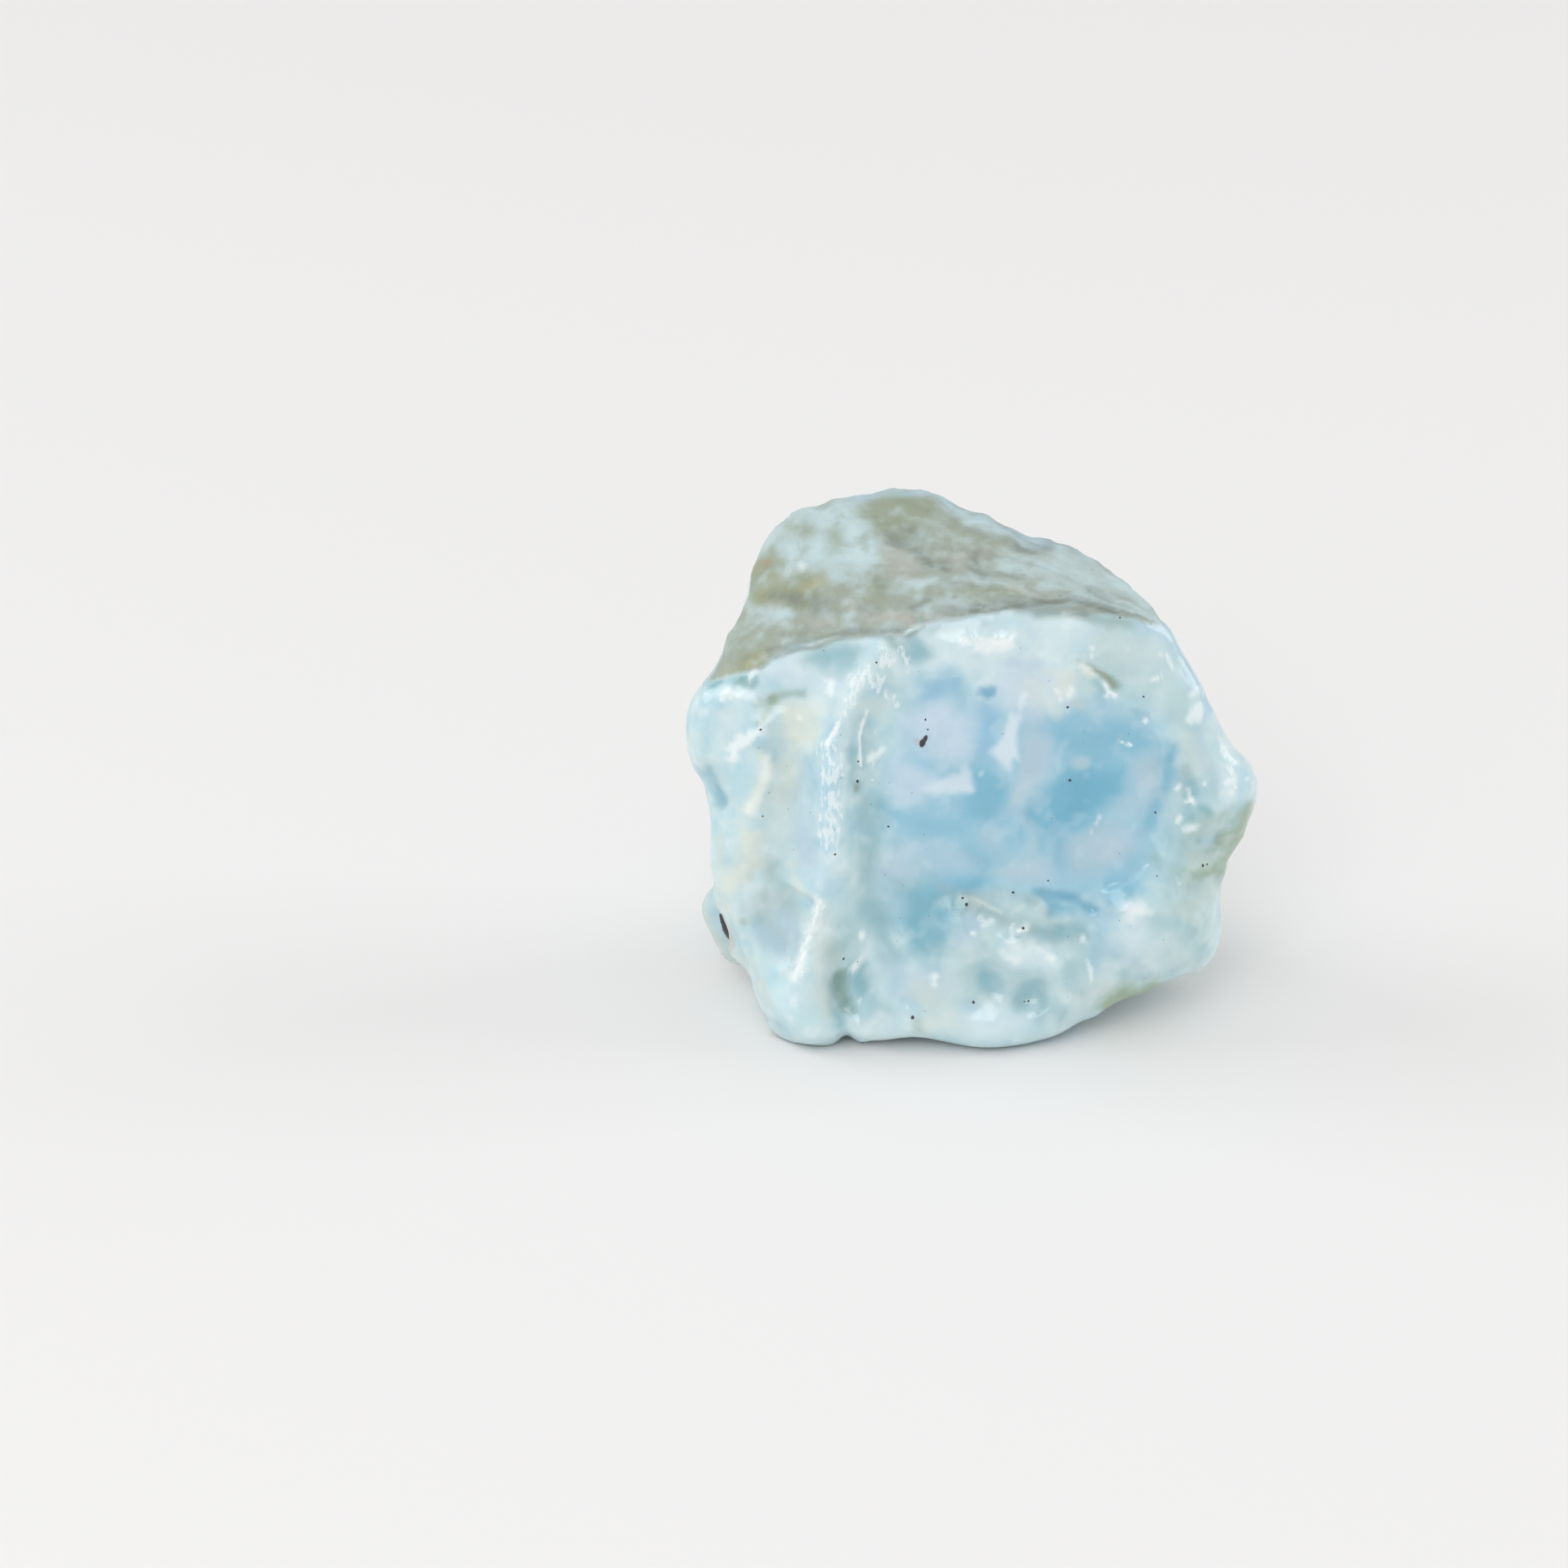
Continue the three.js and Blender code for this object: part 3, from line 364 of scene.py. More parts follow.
    ([(-7.8,-7.4), (-7.9,-9.4), (-8.2,-11.4)], 0.4, 0.3),
    (area((3.9,5.2), (5,5.2), (5.3,4), (4.4,3.6)), 0.35, 0.75), ([(5.8,5.45), (6.1,5.15)], 0.2, 0.9),
    ([(5.6,0.3)], 0.3, 0.3), ([(-0.4,-6.6), (0.7,-7), (1.5,-7.5)], 0.08, 0.55),
    ([(2,-7.5), (2.7,-7.2)], 0.1, 0.4), ([(-10.2,6.3), (-8.6,6.7), (-6.6,7), (-4.6,7.1)], 0.1, 0.3),
    ([(-2.9,-11.6), (-1.4,-12.6), (-2.6,-13.4)], 0.5, 0.45), ([(-5.8,3.6), (-4.9,3.2)], 0.4, 0.3),
    ([(-12.2,-8.7)], 0.2, 0.5), ([(11.6,-5), (12.4,-6.2), (11.4,-7.4)], 0.5, 0.35),
    ([(8.2,-10.9), (6.4,-11.7)], 0.4, 0.3), ([(4,3.6), (4.6,3)], 0.3, 0.4),
    ([(3,4.6), (3.6,3.6)], 0.5, 0.35), ([(7,6.6), (9.4,6)], 0.5, 0.3), ([(11,1.6), (12,0.8)], 0.6, 0.35),
]), ("sand", [
    ([(-7.7,-9), (-7.9,-11), (-7.8,-12.8)], 0.4, 0.45),
    ([(-11.7,-10.2), (-11.3,-11.4), (-10.9,-12.4)], 0.35, 0.5), ([(-11.3,-4.9), (-11.6,-5.6)], 0.3, 0.6),
    (area((-10.5,1.6), (-9.2,1), (-9.2,-1.6), (-9.9,-3.6), (-11,-3.4), (-10.8,-0.8)), 0.4, 0.25),
    ([(-13.6,-3.6), (-13.5,-4.6)], 0.25, 0.6), ([(-10,-10.6)], 0.1, 0.3),
    ([(-0.4,-6.9), (0.2,-7)], 0.2, 0.4), ([(5.4,3.5), (5.8,3.3)], 0.2, 0.4),
]), ("teal", [
    (area((-9,5.6), (-8.6,6.4), (-6.8,6.7), (-6,6.2), (-6.2,5.3), (-7.4,5.5)), 0.35, 0.75),
    ([(-13.7,4.45), (-12.6,4.75), (-11.6,4.7)], 0.3, 0.9), ([(-3.4,6.8), (-2.7,6.2)], 0.45, 0.75),
    ([(-7.4,5.7), (-6.6,5.6)], 0.35, 0.35), ([(8,-10.9), (9,-10.8)], 0.4, 0.6),
    ([(12.6,-0.6), (13,-1.8)], 0.4, 0.4), ([(-0.6,-8.3), (0.1,-9.2)], 0.4, 0.4),
    ([(-7.3,3.6), (-7.2,3)], 0.3, 0.35), ([(-6.1,-10.4), (-5.8,-11.3)], 0.4, 0.85),
    ([(0.6,-10.7), (1.1,-11.3)], 0.4, 0.5), ([(2.7,-11.7), (3.4,-11.5)], 0.4, 0.5),
    ([(0.5,-10.6), (1.6,-11.3), (3.6,-11.7)], 0.7, 0.35),
    ([(2.7,-12.1), (3.4,-12.5), (4.6,-12.9)], 0.5, 0.6), ([(3.4,-8.6), (5.8,-8.5)], 0.4, 0.5),
    ([(11.2,-1.4), (11.4,-2.2), (11.2,-2.9)], 0.25, 0.4), ([(-5.1,-12.4), (-4.6,-12.5)], 0.35, 0.3),
    ([(5.3,-10.3), (5.2,-11.4)], 0.4, 0.4), ([(4.6,-8.4), (5.8,-8.4)], 0.3, 0.6),
    ([(12.1,-2), (12.5,-2.3)], 0.24, 0.8), ([(11.6,-2.5)], 0.14, 0.5), ([(12.9,-3.6)], 0.18, 0.6),
    ([(11.7,-3.8)], 0.18, 0.6), ([(11.4,-0.6), (11.6,-1.2)], 0.2, 0.5),
    ([(-10.8,1.2), (-10.5,0.6)], 0.25, 0.3), ([(-11.4,-8), (-11,-7.6)], 0.3, 0.3),
    ([(9.9,-8.1), (10.8,-8.3)], 0.5, 0.4), ([(11.2,-8.4), (12,-9.4)], 0.4, 0.4),
    ([(-7,-13), (-6.8,-13.9)], 0.35, 0.75), (CREASE, 0.3, 0.45), ([(-3.2,-6.2), (-2.4,-8.8)], 0.9, 0.6),
    ([(-5.4,-7.4), (-4.8,-8.8), (-4,-9.6)], 0.5, 0.5), ([(6.3,4.7), (6.7,4.3)], 0.2, 0.5),
]), ("green", [
    ([(-6.95,-10.8), (-6.85,-11.6), (-6.6,-12.5)], 0.3, 0.85), ([(-6.85,-11.2), (-6.8,-12)], 0.25, 0.8),
    ([(-7.4,-9.2), (-7.3,-10.2)], 0.4, 0.3),
    (area((10.8,-4), (12.2,-4.4), (12.8,-6.6), (12,-8.4), (10.8,-7)), 0.8, 0.35),
    ([(14.4,-2.6), (13.9,-3.4), (13.3,-4.3), (12.9,-5.1)], 0.6, 0.5),
    ([(11.7,-5.6), (12.4,-5.2)], 0.3, 0.4), ([(3.6,8.3), (5,8.2), (7.4,7.8), (8.6,7.6)], 0.28, 0.55),
    ([(-10.7,3.55), (-10,3.9), (-9,3.9)], 0.2, 0.55), ([(-12.4,4.6), (-11.8,4.5)], 0.25, 0.4),
    ([(10.6,-5.4), (11.5,-5.8)], 0.4, 0.4), ([(9.5,-4.7)], 0.4, 0.3),
    ([(-3.1,-13.1), (-3,-13.7)], 0.25, 0.3), ([(-12.1,-8)], 0.2, 0.5), ([(-4.4,6.9), (-3.8,6.6)], 0.3, 0.6),
    ([(7.2,4.9), (7.5,4.5)], 0.17, 0.55),
]), ("olive", [
    ([(-8.6,6.65), (-6.6,6.9), (-4,7.05)], 0.15, 0.3), (SLIT, 0.06, 0.35),
    ([(6.3,5.35), (6.9,4.9), (7.3,4.5)], 0.12, 0.6), ([(7.1,-12.5), (8.3,-12), (9.3,-11.7)], 0.35, 0.65),
    ([(-11.5,3.2), (-11.2,3.5)], 0.2, 0.35), ([(-10.6,3.7), (-10.4,3.85)], 0.14, 0.4),
    ([(12.4,-5.2)], 0.2, 0.5), ([(13.2,-2.4), (13,-3.3)], 0.35, 0.35), ([(-6.15,-0.8)], 0.16, 0.7),
]), ("leaf", [
    ([(14.3,-2.7), (13.8,-3.5), (13.1,-4.5)], 0.55, 0.75), ([(11.8,-5.4), (12.4,-5)], 0.35, 0.4),
    ([(12,-3.2), (12.6,-2.6)], 0.5, 0.3), ([(-11.2,2.5), (-11,3), (-10.6,3.5)], 0.22, 0.6),
    ([(6.9,-12.2), (8.2,-11.8), (9.5,-11.4)], 0.45, 0.75),
]), ("violet", [
    ([(10.2,7.8), (11.3,6.5), (11.9,5.2), (12.4,4), (12.6,3.3)], 0.3, 0.7),
]), ("shade", [
    ([(-13.2,4.9), (-11,5.4), (-10.5,5.9), (-9,6.4), (-6.9,6.8), (-3.2,7.2), (-2.5,7.8), (-1,8.1),
     (1.3,8.4)], 0.13, 0.6),
]), ("white", [
    ([(10.2,7.3), (10.9,6.4), (11.6,5.3), (12.1,4.2)], 0.07, 0.7),
]), ("azure", [
    (area((0.3,3.9), (0.45,4.35), (0.8,4.35), (1.25,4.5), (1.1,4.1), (0.8,3.8)), 0.12, 0.95),
    ([(0.6,4.15), (0.95,4.3)], 0.25, 0.9),
]), ("rust", [
    ([(-2.9,1.5)], 0.12, 0.3),
]), ("blush", [
    ([(-1.6,-6.1), (-0.9,-6.4), (0.2,-6.7), (1.4,-6.5)], 0.35, 0.3),
]), ("teal", [
    # Painted shade in the pocket left of the ledge's grains.
    ([(-1.8,-6.8), (-1.2,-6.8), (-0.6,-7.1)], 0.4, 0.85), ([(-1.8,-7.6), (-1.4,-7.2)], 0.4, 0.4),
    ([(2.6,-12.2), (3.4,-12.9)], 0.4, 0.6), ([(2.3,-8.7), (2.7,-8.9)], 0.25, 0.5),
    ([(-6.7,-8.2), (-6.4,-9.2)], 0.5, 0.35), ([(-7.9,5.3), (-7,5.1)], 0.35, 0.45),
    ([(-3.9,6.6), (-3.5,6)], 0.35, 0.45),
]), ("blue", [
    ([(7.2,-6.4), (7.9,-6.4)], 0.4, 0.5), ([(0.6,-10.7), (1,-11.1)], 0.5, 0.3),
]), ("ash", [
    ([(0,-7.3), (0.5,-7.9)], 0.3, 0.6), ([(3.2,-6.9), (3.8,-7.4)], 0.3, 0.5),
]), ("cloud", [
    ([(0,-7.8), (0.25,-8.2), (-0.2,-8.8), (-0.7,-9.1)], 0.35, 0.85),
    ([(9,7.6), (9.8,7.3), (10.6,6.6), (11.2,5.7), (11.6,4.6)], 0.35, 0.8),
    ([(12,3), (12.1,2), (12.2,0.8), (12.8,-0.6)], 0.4, 0.5), ([(2,5.6), (3.2,5.6)], 0.3, 0.4),
])]

# The same on the seam face.
SEAM_PAINT = [("ice", [
    (area((-10.6,12.9), (-8.5,14.4), (-6,14.6), (-5.5,13), (-4.9,11.9), (-5,10.4), (-7.2,10.2), (-8,10.4),
     (-9.8,10.4), (-10.2,11.8)), 0.5, 0.9),
    (area((-11.4,8.7), (-10.2,8.8), (-9.6,8.3), (-10.4,7.9), (-11.2,8)), 0.35, 0.75),
    (area((1.4,11.4), (4.6,11.5), (7.4,10.8), (9.2,9.2), (7,9.3), (4,9.8), (1.8,10.4)), 0.5, 0.6),
    ([(5.6,8.9), (7.2,8.9), (8.8,8.4)], 0.35, 0.7), ([(8.4,9.5), (10,8)], 0.5, 0.6),
    ([(-11.3,11), (-10.9,12), (-10.2,12.8)], 0.3, 0.8), ([(-8.2,9.6), (-7.2,9.9)], 0.3, 0.5),
    ([(-6.2,10.9), (-5.4,10.8)], 0.3, 0.5), ([(-4.4,9.4), (-3.6,9.4)], 0.3, 0.6),
    ([(-3.8,9.8), (-2.8,9.7), (-2.9,9.2)], 0.3, 0.6), ([(-8.4,8.4), (-7.6,8.2)], 0.3, 0.4),
    ([(-1.9,9.8), (0.2,9.9), (2.4,9.5)], 0.25, 0.4), ([(-2.8,8.5), (-0.8,8.6), (0.4,8.9)], 0.22, 0.5),
    ([(-12.9,6.6), (-12.5,7.4)], 0.4, 0.5), ([(-11.5,6.6), (-11,7)], 0.3, 0.4),
]), ("moss", [
    (area((-9.9,13), (-8.8,13.2), (-8.2,12.5), (-8.9,12), (-9.7,12.3)), 0.4, 0.8),
    (area((-7.9,12.6), (-6.7,12.6), (-6.8,11.5), (-7.5,11.2)), 0.35, 0.65),
    (area((-11.9,10.7), (-10.6,11.5), (-9.9,10.9), (-10.2,10.1), (-11.4,10.1)), 0.35, 0.9),
    (area((-12,9.8), (-9,10.2), (-7.8,10.3), (-8,9.4), (-8.6,8.6), (-10.2,8.9), (-12,9)), 0.4, 1),
    (area((-6.1,13.9), (-4.4,14.6), (-2.2,14.4), (-1.8,13.4), (-2.8,12.4), (-4,12.1), (-5,12.6),
     (-5.6,13.2)), 0.45, 0.9),
    (area((-1.8,13.8), (-0.2,13.2), (0.3,12.4), (-1,11.9), (-2.4,12.1)), 0.6, 0.6),
    (area((-13.6,5.2), (-12,5.2), (-10.5,6), (-10.2,6.9), (-11.2,7.6), (-12.4,7.3),
     (-13.2,6.2)), 0.4, 0.45),
    (area((-5.3,10.4), (-4.5,10.1), (-4.3,9), (-4.9,8.5), (-5.6,9.2)), 0.35, 0.7),
    ([(-7.6,9.6), (-6.6,9.4), (-6,8.9)], 0.35, 0.5), ([(-10.4,7.4), (-8.6,7.2)], 0.4, 0.3),
    ([(-0.2,9.2), (1,9.4), (2.1,9.2)], 0.3, 0.6), ([(0.2,11.6), (1,12.2), (1.6,12.4)], 0.5, 0.4),
    ([(-2.2,7.6), (-1,8.2), (0.6,8.4)], 0.12, 0.3),
]), ("olive", [
    ([(-13.2,5.1), (-12.2,5.4), (-11.2,5.9)], 0.35, 0.65),
    ([(-11.8,10.2), (-10.6,10.4), (-10,10)], 0.3, 0.35), ([(-11,9.3), (-9.8,9.2), (-8.8,9.1)], 0.4, 0.6),
]), ("blush", [
    (area((-4.7,11.9), (-3.2,11.3), (-2.4,10.4), (-2.8,9.9), (-4.2,10.2), (-4.9,11)), 0.35, 0.55),
    ([(-5.4,7.8), (-4.4,7.9), (-3.3,7.8)], 0.2, 0.8), ([(-2.4,8.1), (-1.2,8.4)], 0.15, 0.7),
    ([(1.8,9.5), (3,9.2), (4.2,9.1)], 0.16, 0.7), ([(-6.4,8.6), (-5.8,8)], 0.3, 0.5),
    ([(-1.4,11), (0.4,11.2)], 0.4, 0.35), ([(-8.6,7.6), (-7.4,7.7)], 0.2, 0.4),
]), ("shade", [
    ([(-10.4,9.3), (-9.4,9.1), (-8.6,9), (-8.4,8.4)], 0.3, 0.75), ([(-7.8,8.6), (-7,8.2)], 0.3, 0.4),
    ([(-4.4,12.1), (-3.2,11.6), (-2.2,10.9), (-1.5,10.7)], 0.25, 0.65),
    ([(-2.2,10.8), (-1.5,10.8)], 0.3, 0.5), ([(1.6,12.6), (2.2,12.3)], 0.2, 0.5),
    ([(2.5,11.8), (3.4,11.5), (4,11.8)], 0.25, 0.8), ([(0.2,10.4), (1.4,10.2), (2.6,10.1)], 0.15, 0.5),
    ([(-3.2,8.4), (-2.6,8.8), (-2.2,9)], 0.15, 0.6), ([(-6,8.4), (-5.2,8.3)], 0.2, 0.5),
    ([(-9.8,7.2), (-8.8,7)], 0.2, 0.4), ([(-3.4,12.4), (-2.7,12.2)], 0.3, 0.5),
    ([(0.1,11), (0.5,10.3)], 0.35, 0.8), ([(6.2,9.4), (7.4,9.1)], 0.25, 0.5),
    ([(-5,9.9), (-4.6,9.6)], 0.2, 0.4), (FISSURE, 0.09, 0.6), (FISSURE_ON_THE_RIGHT, 0.09, 0.6),
    ([(-2,8.3), (-0.6,8.5), (0.4,8.6)], 0.2, 0.6), ([(1.2,8.7), (4,9), (6.4,8.8), (8.4,8.2)], 0.3, 0.5),
    ([(-0.2,8.45), (0.8,8.8), (2,8.75)], 0.1, 0.6), ([(-10.6,6.25), (-8.4,6.85), (-6,7.3)], 0.12, 0.5),
    ([(3,8.95), (5.2,8.85), (7.4,8.4)], 0.17, 0.65),
]), ("gold", [
    ([(-8.9,9.6), (-8.3,9.8), (-7.8,10.1)], 0.25, 0.4), ([(-11.8,5.5), (-11,5.9)], 0.2, 0.4),
    ([(-12,10.4), (-11.4,10.6)], 0.2, 0.3),
]), ("rust", [
    ([(-10.8,10.8), (-10.6,10.9)], 0.13, 0.35),
]), ("cloud", [
    ([(-6.2,14.8), (-2.2,14.6), (-0.6,13.5), (0.8,13), (2.4,12.6), (4.2,12), (6,11.3)], 0.35, 0.7),
]), ("milk", [
    ([(-8.8,11.7), (-8.2,11.4)], 0.3, 0.4), ([(-6.1,12.3), (-5.9,10.5)], 0.5, 0.6),
    ([(-11,11.4), (-10.6,12.2)], 0.3, 0.5), ([(-0.4,13), (1.2,12.5)], 0.3, 0.45),
]), ("white", [
    ([(-8.9,10.65)], 0.2, 0.8),
])]

# Two large dark grains, each of two lumps that run into each other: (place, half sizes, turn).
LARGE_GRAINS = [
    ((-2.5, 1.68), (0.11, 0.24, 0.08), -0.45), ((-2.66, 1.42), (0.15, 0.22, 0.08), -0.1),
    ((-12.86, -8.62), (0.38, 0.75, 0.16), 0.8), ((-13.13, -8.15), (0.22, 0.7, 0.11), 0.75),
]

# Small dark grains on the glossy face: (place, radius).
GRAINS = [
    ((-11.1, 2.1), 0.07), ((-11.1, -2.5), 0.05), ((-6.1, 0.5), 0.05), ((-6.1, -0.6), 0.09),
    ((5.1, -0.5), 0.09), ((9.6, -2.2), 0.06), ((-4.4, -3.0), 0.06), ((-0.6, -6.7), 0.07),
    ((-0.3, -7.1), 0.08), ((2.1, -6.4), 0.08), ((2.7, -8.3), 0.08), ((3.9, -5.8), 0.05),
    ((-7.3, -4.4), 0.06), ((-6.9, -9.9), 0.06), ((-3.2, -13.0), 0.09), ((0.0, -12.3), 0.07),
    ((2.7, -12.3), 0.05), ((3.0, -12.2), 0.06), ((12.1, -5.1), 0.08), ((12.3, -5.0), 0.06),
    ((9.7, -5.6), 0.05), ((-2.5, 2.7), 0.05), ((-2.4, 2.1), 0.05), ((4.9, 3.3), 0.07),
    ((-5.05, 5.7), 0.05), ((9.0, 3.8), 0.05), ((7.8, 8.0), 0.05),
]


# ---- Numbers over the surface ----

def smoothstep(low, high, x):
    t = np.clip((x - low) / (high - low), 0, 1)
    return t * t * (3 - 2 * t)


def waves(places, length, seed, octaves=1):
    """Smooth noise, about -1 to 1, with waves about this long, and finer and fainter ones on top."""
    total = np.zeros(len(places))
    for octave in range(octaves):
        finer = 2 ** octave
        moved = places * finer / length + 31.7 * (seed + octave)
        total += np.array([noise.noise(p) for p in moved.tolist()]) / finer
    return total


def patchy(places, low, high, length, seed, octaves):
    """Noise as a cover: 0 where it is below low, and 1 where it is above high."""
    return smoothstep(low, high, waves(places, length, seed, octaves))


def nearest_on_line(points, line):
    """Distance from each point to a line of points, share of the way along it, and the side."""
    ends = np.array(line, float)
    distance = np.linalg.norm(points - ends[0], axis=1)
    along = np.zeros(len(points))
    side = np.ones(len(points))
    for i, (start, end) in enumerate(zip(ends[:-1], ends[1:])):
        span = end - start
        offset = points - start
        share = np.clip(offset @ span / (span @ span), 0, 1)
        d = np.linalg.norm(offset - share[:, None] * span, axis=1)
        closer = d < distance
        distance[closer] = d[closer]
        along[closer] = (i + share[closer]) / (len(ends) - 1)
        side[closer] = np.sign(offset[closer, 0] * span[1] - offset[closer, 1] * span[0])
    return distance, along, side


def bell(points, line, width):
    return np.exp(-0.5 * (nearest_on_line(points, line)[0] / width) ** 2)


def inside(points, outline):
    """Which points lie inside a closed outline: a line to the right crosses it an odd number of times."""
    crossings = np.zeros(len(points), int)
    for (x0, y0), (x1, y1) in zip(outline[:-1], outline[1:]):
        spans = (y0 > points[:, 1]) != (y1 > points[:, 1])
        rise = (y1 - y0) or 1
        crossings += spans & (points[:, 0] < x0 + (points[:, 1] - y0) / rise * (x1 - x0))
    return crossings % 2 == 1


def cover(points, patches, ragged=0):
    """How far patches of (points, half width or edge, strength) cover each point, from 0 to 1."""
    total = np.zeros(len(points))
    for line, width, strength in patches:
        distance = nearest_on_line(points, line)[0] / width
        if len(line) > 2 and line[0] == line[-1]:
            signed = np.where(inside(points, line), -distance, distance)
            share = smoothstep(1.5, -1.5, signed + ragged)
        else:
            share = smoothstep(2, 0, distance + ragged)
        total = 1 - (1 - total) * (1 - strength * share)
    return total


def linear(name):
    """A colour of the palette in linear light, which meshes and nodes take."""
    c = np.array(PALETTE[name]) / 255
    return ((c + 0.055) / 1.055) ** 2.4


def layered(colours, layers):
    """Colours with others laid over them, as (name in the palette, how far it covers each corner)."""
    for name, share in layers:
        colours = colours + share[:, None] * (linear(name) - colours)
    return colours


# ---- The stone's fine mesh ----

def cut_fine(node):
    """A node's mesh in millimetres, as corners and triangles, with each edge cut in CUTS + 1."""
    bm = bmesh.new()
    bm.from_mesh(node.data)
    bmesh.ops.scale(bm, vec=(1 / MM,) * 3, verts=bm.verts)
    bmesh.ops.remove_doubles(bm, verts=bm.verts, dist=1e-4)
    bmesh.ops.subdivide_edges(bm, edges=bm.edges, cuts=CUTS, use_grid_fill=True)
    bmesh.ops.triangulate(bm, faces=bm.faces)
    return corners_and_triangles(bm)


def corners_and_triangles(bm):
    """The numbers of a bmesh, which is freed."""
    corners = np.array([v.co for v in bm.verts], float)
    triangles = np.array([[v.index for v in f.verts] for f in bm.faces])
    bm.free()
    return corners, triangles


def smooth(corners, triangles):
    """Takes the facets away without shrinking: each round draws corners together, then pushes back."""
    pairs = np.concatenate([triangles[:, [0, 1]], triangles[:, [1, 2]], triangles[:, [2, 0]]])
    count = len(corners)
    degree = np.bincount(pairs.ravel(), minlength=count)[:, None]
    for share in (DRAW_TOGETHER, PUSH_BACK) * SMOOTH_ROUNDS:
        total = np.empty_like(corners)
        for axis in range(3):
            total[:, axis] = np.bincount(pairs[:, 0], corners[pairs[:, 1], axis], count)
            total[:, axis] += np.bincount(pairs[:, 1], corners[pairs[:, 0], axis], count)
        corners = corners + share * (total / degree - corners)
    return corners


def normals_of(corners, triangles):
    a, b, c = (corners[triangles[:, k]] for k in range(3))
    faces = np.cross(b - a, c - a)
    total = np.zeros_like(corners)
    for k in range(3):
        for axis in range(3):
            total[:, axis] += np.bincount(triangles[:, k], faces[:, axis], len(corners))
    return total / np.linalg.norm(total, axis=1)[:, None]


def seen(corners):
    """Where each corner is seen against the heart's plane, as (across, up)."""
    offset = corners - HEART
    nearer = VIEWER_DISTANCE / (VIEWER_DISTANCE - offset @ OUT)
    return VIEWER + (np.c_[offset @ ACROSS, offset @ UP] - VIEWER) * nearer[:, None]


def above_crest(points):
    line = np.array(CREST)
    return points[:, 1] - np.interp(points[:, 0], line[:, 0], line[:, 1])


def zones(corners, normals):
    """How far each corner belongs to the glossy face and to the seam face, from 0 to 1."""
    above = above_crest(seen(corners))
    seam = smoothstep(0.46, 0.62, normals[:, 2]) * smoothstep(-0.3, 0, above)
    face = smoothstep(-0.4, -0.05, normals @ OUT) * (1 - seam)
    return face, seam


def turned_away(normals):
    """How far each corner faces away from the viewer, from 0 to 1."""
    return smoothstep(0.1, -0.25, normals @ OUT)


# ---- Relief ----

def add_relief(height, points, raised):
    """Adds to height along each of the lines in raised, which are (line, width, height)."""
    for line, width, full in raised:
        height += full * bell(points, line, width)


def face_relief(points, corners):
    height = 0.03 * waves(corners, 1.5, 1, 3)
    add_relief(height, points, FACE_RELIEF)
    add_relief(height, points, [(line, width, GLINT_HEIGHT * width) for line, width, _ in GLINTS])
    for line, full, reach in LEDGES:
        distance, along, side = nearest_on_line(points, line)
        ends = smoothstep(0, 0.25, along) * smoothstep(1, 0.8, along)
        beyond = np.maximum(side * distance, 0)
        height += full * ends * smoothstep(-0.13, 0.13, side * distance) * np.exp(-beyond / reach)
    return height


def seam_layers(points):
    """Places for noise that is drawn out along the seam's layers, which spread from one place."""
    offset = np.array(SEAM_MEETING) - points
    spread = np.arctan2(-offset[:, 1], offset[:, 0])
    radius = np.linalg.norm(offset, axis=1)
    return np.c_[spread * LAYERS_PER_RADIAN, radius / LAYER_LENGTH, np.zeros(len(points))]


def seam_relief(points, corners):
    streaky = smoothstep(-8, -2, points[:, 0])
    above = above_crest(points)
    height = 0.075 * streaky * waves(seam_layers(points), 0.9, 3, 3)
    height += 0.16 * (1 - 0.6 * streaky) * waves(corners, 1.7, 5, 4)
    height += 0.05 * waves(corners, 0.5, 8, 2)
    for step in SEAM_STEPS:
        height += 0.05 * smoothstep(step - 0.08, step + 0.08, above + 0.2 * waves(corners, 2, 9))
    add_relief(height, points, SEAM_RELIEF)
    return height


def rear_relief(corners):
    return 0.3 * np.abs(waves(corners, 3.4, 12, 2)) + 0.12 * waves(corners, 1.4, 14, 4)


def edge_relief(points, normals):
    on_the_left = smoothstep(-0.2, -0.6, normals[:, 0])
    height = 0.85 * (on_the_left * turned_away(normals) * bell(points, LEFT_LUMP, 0.8))
    add_relief(height, points, EDGE_RELIEF)
    return height


# ---- Colour ----

def rear_colours(corners, cloud):
    veins = smoothstep(0.8, 0.99, 1 - np.abs(waves(corners, 4.2, 47, 3)))
    moss = patchy(corners, 0.25, 0.6, 4.6, 61, 5)
    return layered(linear("milk"), [
        ("sky", patchy(corners, 0, 0.45, 5.5, 51, 4)),
        ("blue", 0.9 * patchy(corners, 0.25, 0.7, 5, 55, 4)),
        ("white", (0.3 + 0.5 * smoothstep(-0.3, 0.3, cloud)) * veins),
        ("green", 0.6 * moss),
        ("moss", moss * patchy(corners, -0.3, 0.3, 0.9, 79, 3)),
        ("olive", 0.4 * moss * patchy(corners, 0.2, 0.6, 1.4, 74, 4)),
    ])


def clouds_and_puffs(strength, cloud, puffs):
    """Layers of white and sky blue, in large clouds and in small puffs."""
    return [
        ("white", 0.8 * strength * smoothstep(0, 0.7, cloud)),
        ("sky", 0.7 * strength * smoothstep(0, -0.7, cloud)),
        ("white", strength * smoothstep(0.1, 0.6, puffs)),
        ("sky", 0.5 * strength * smoothstep(-0.1, -0.6, puffs)),
    ]


def strokes(paint, points, ragged):
    return [(name, cover(points, patches, ragged)) for name, patches in paint]


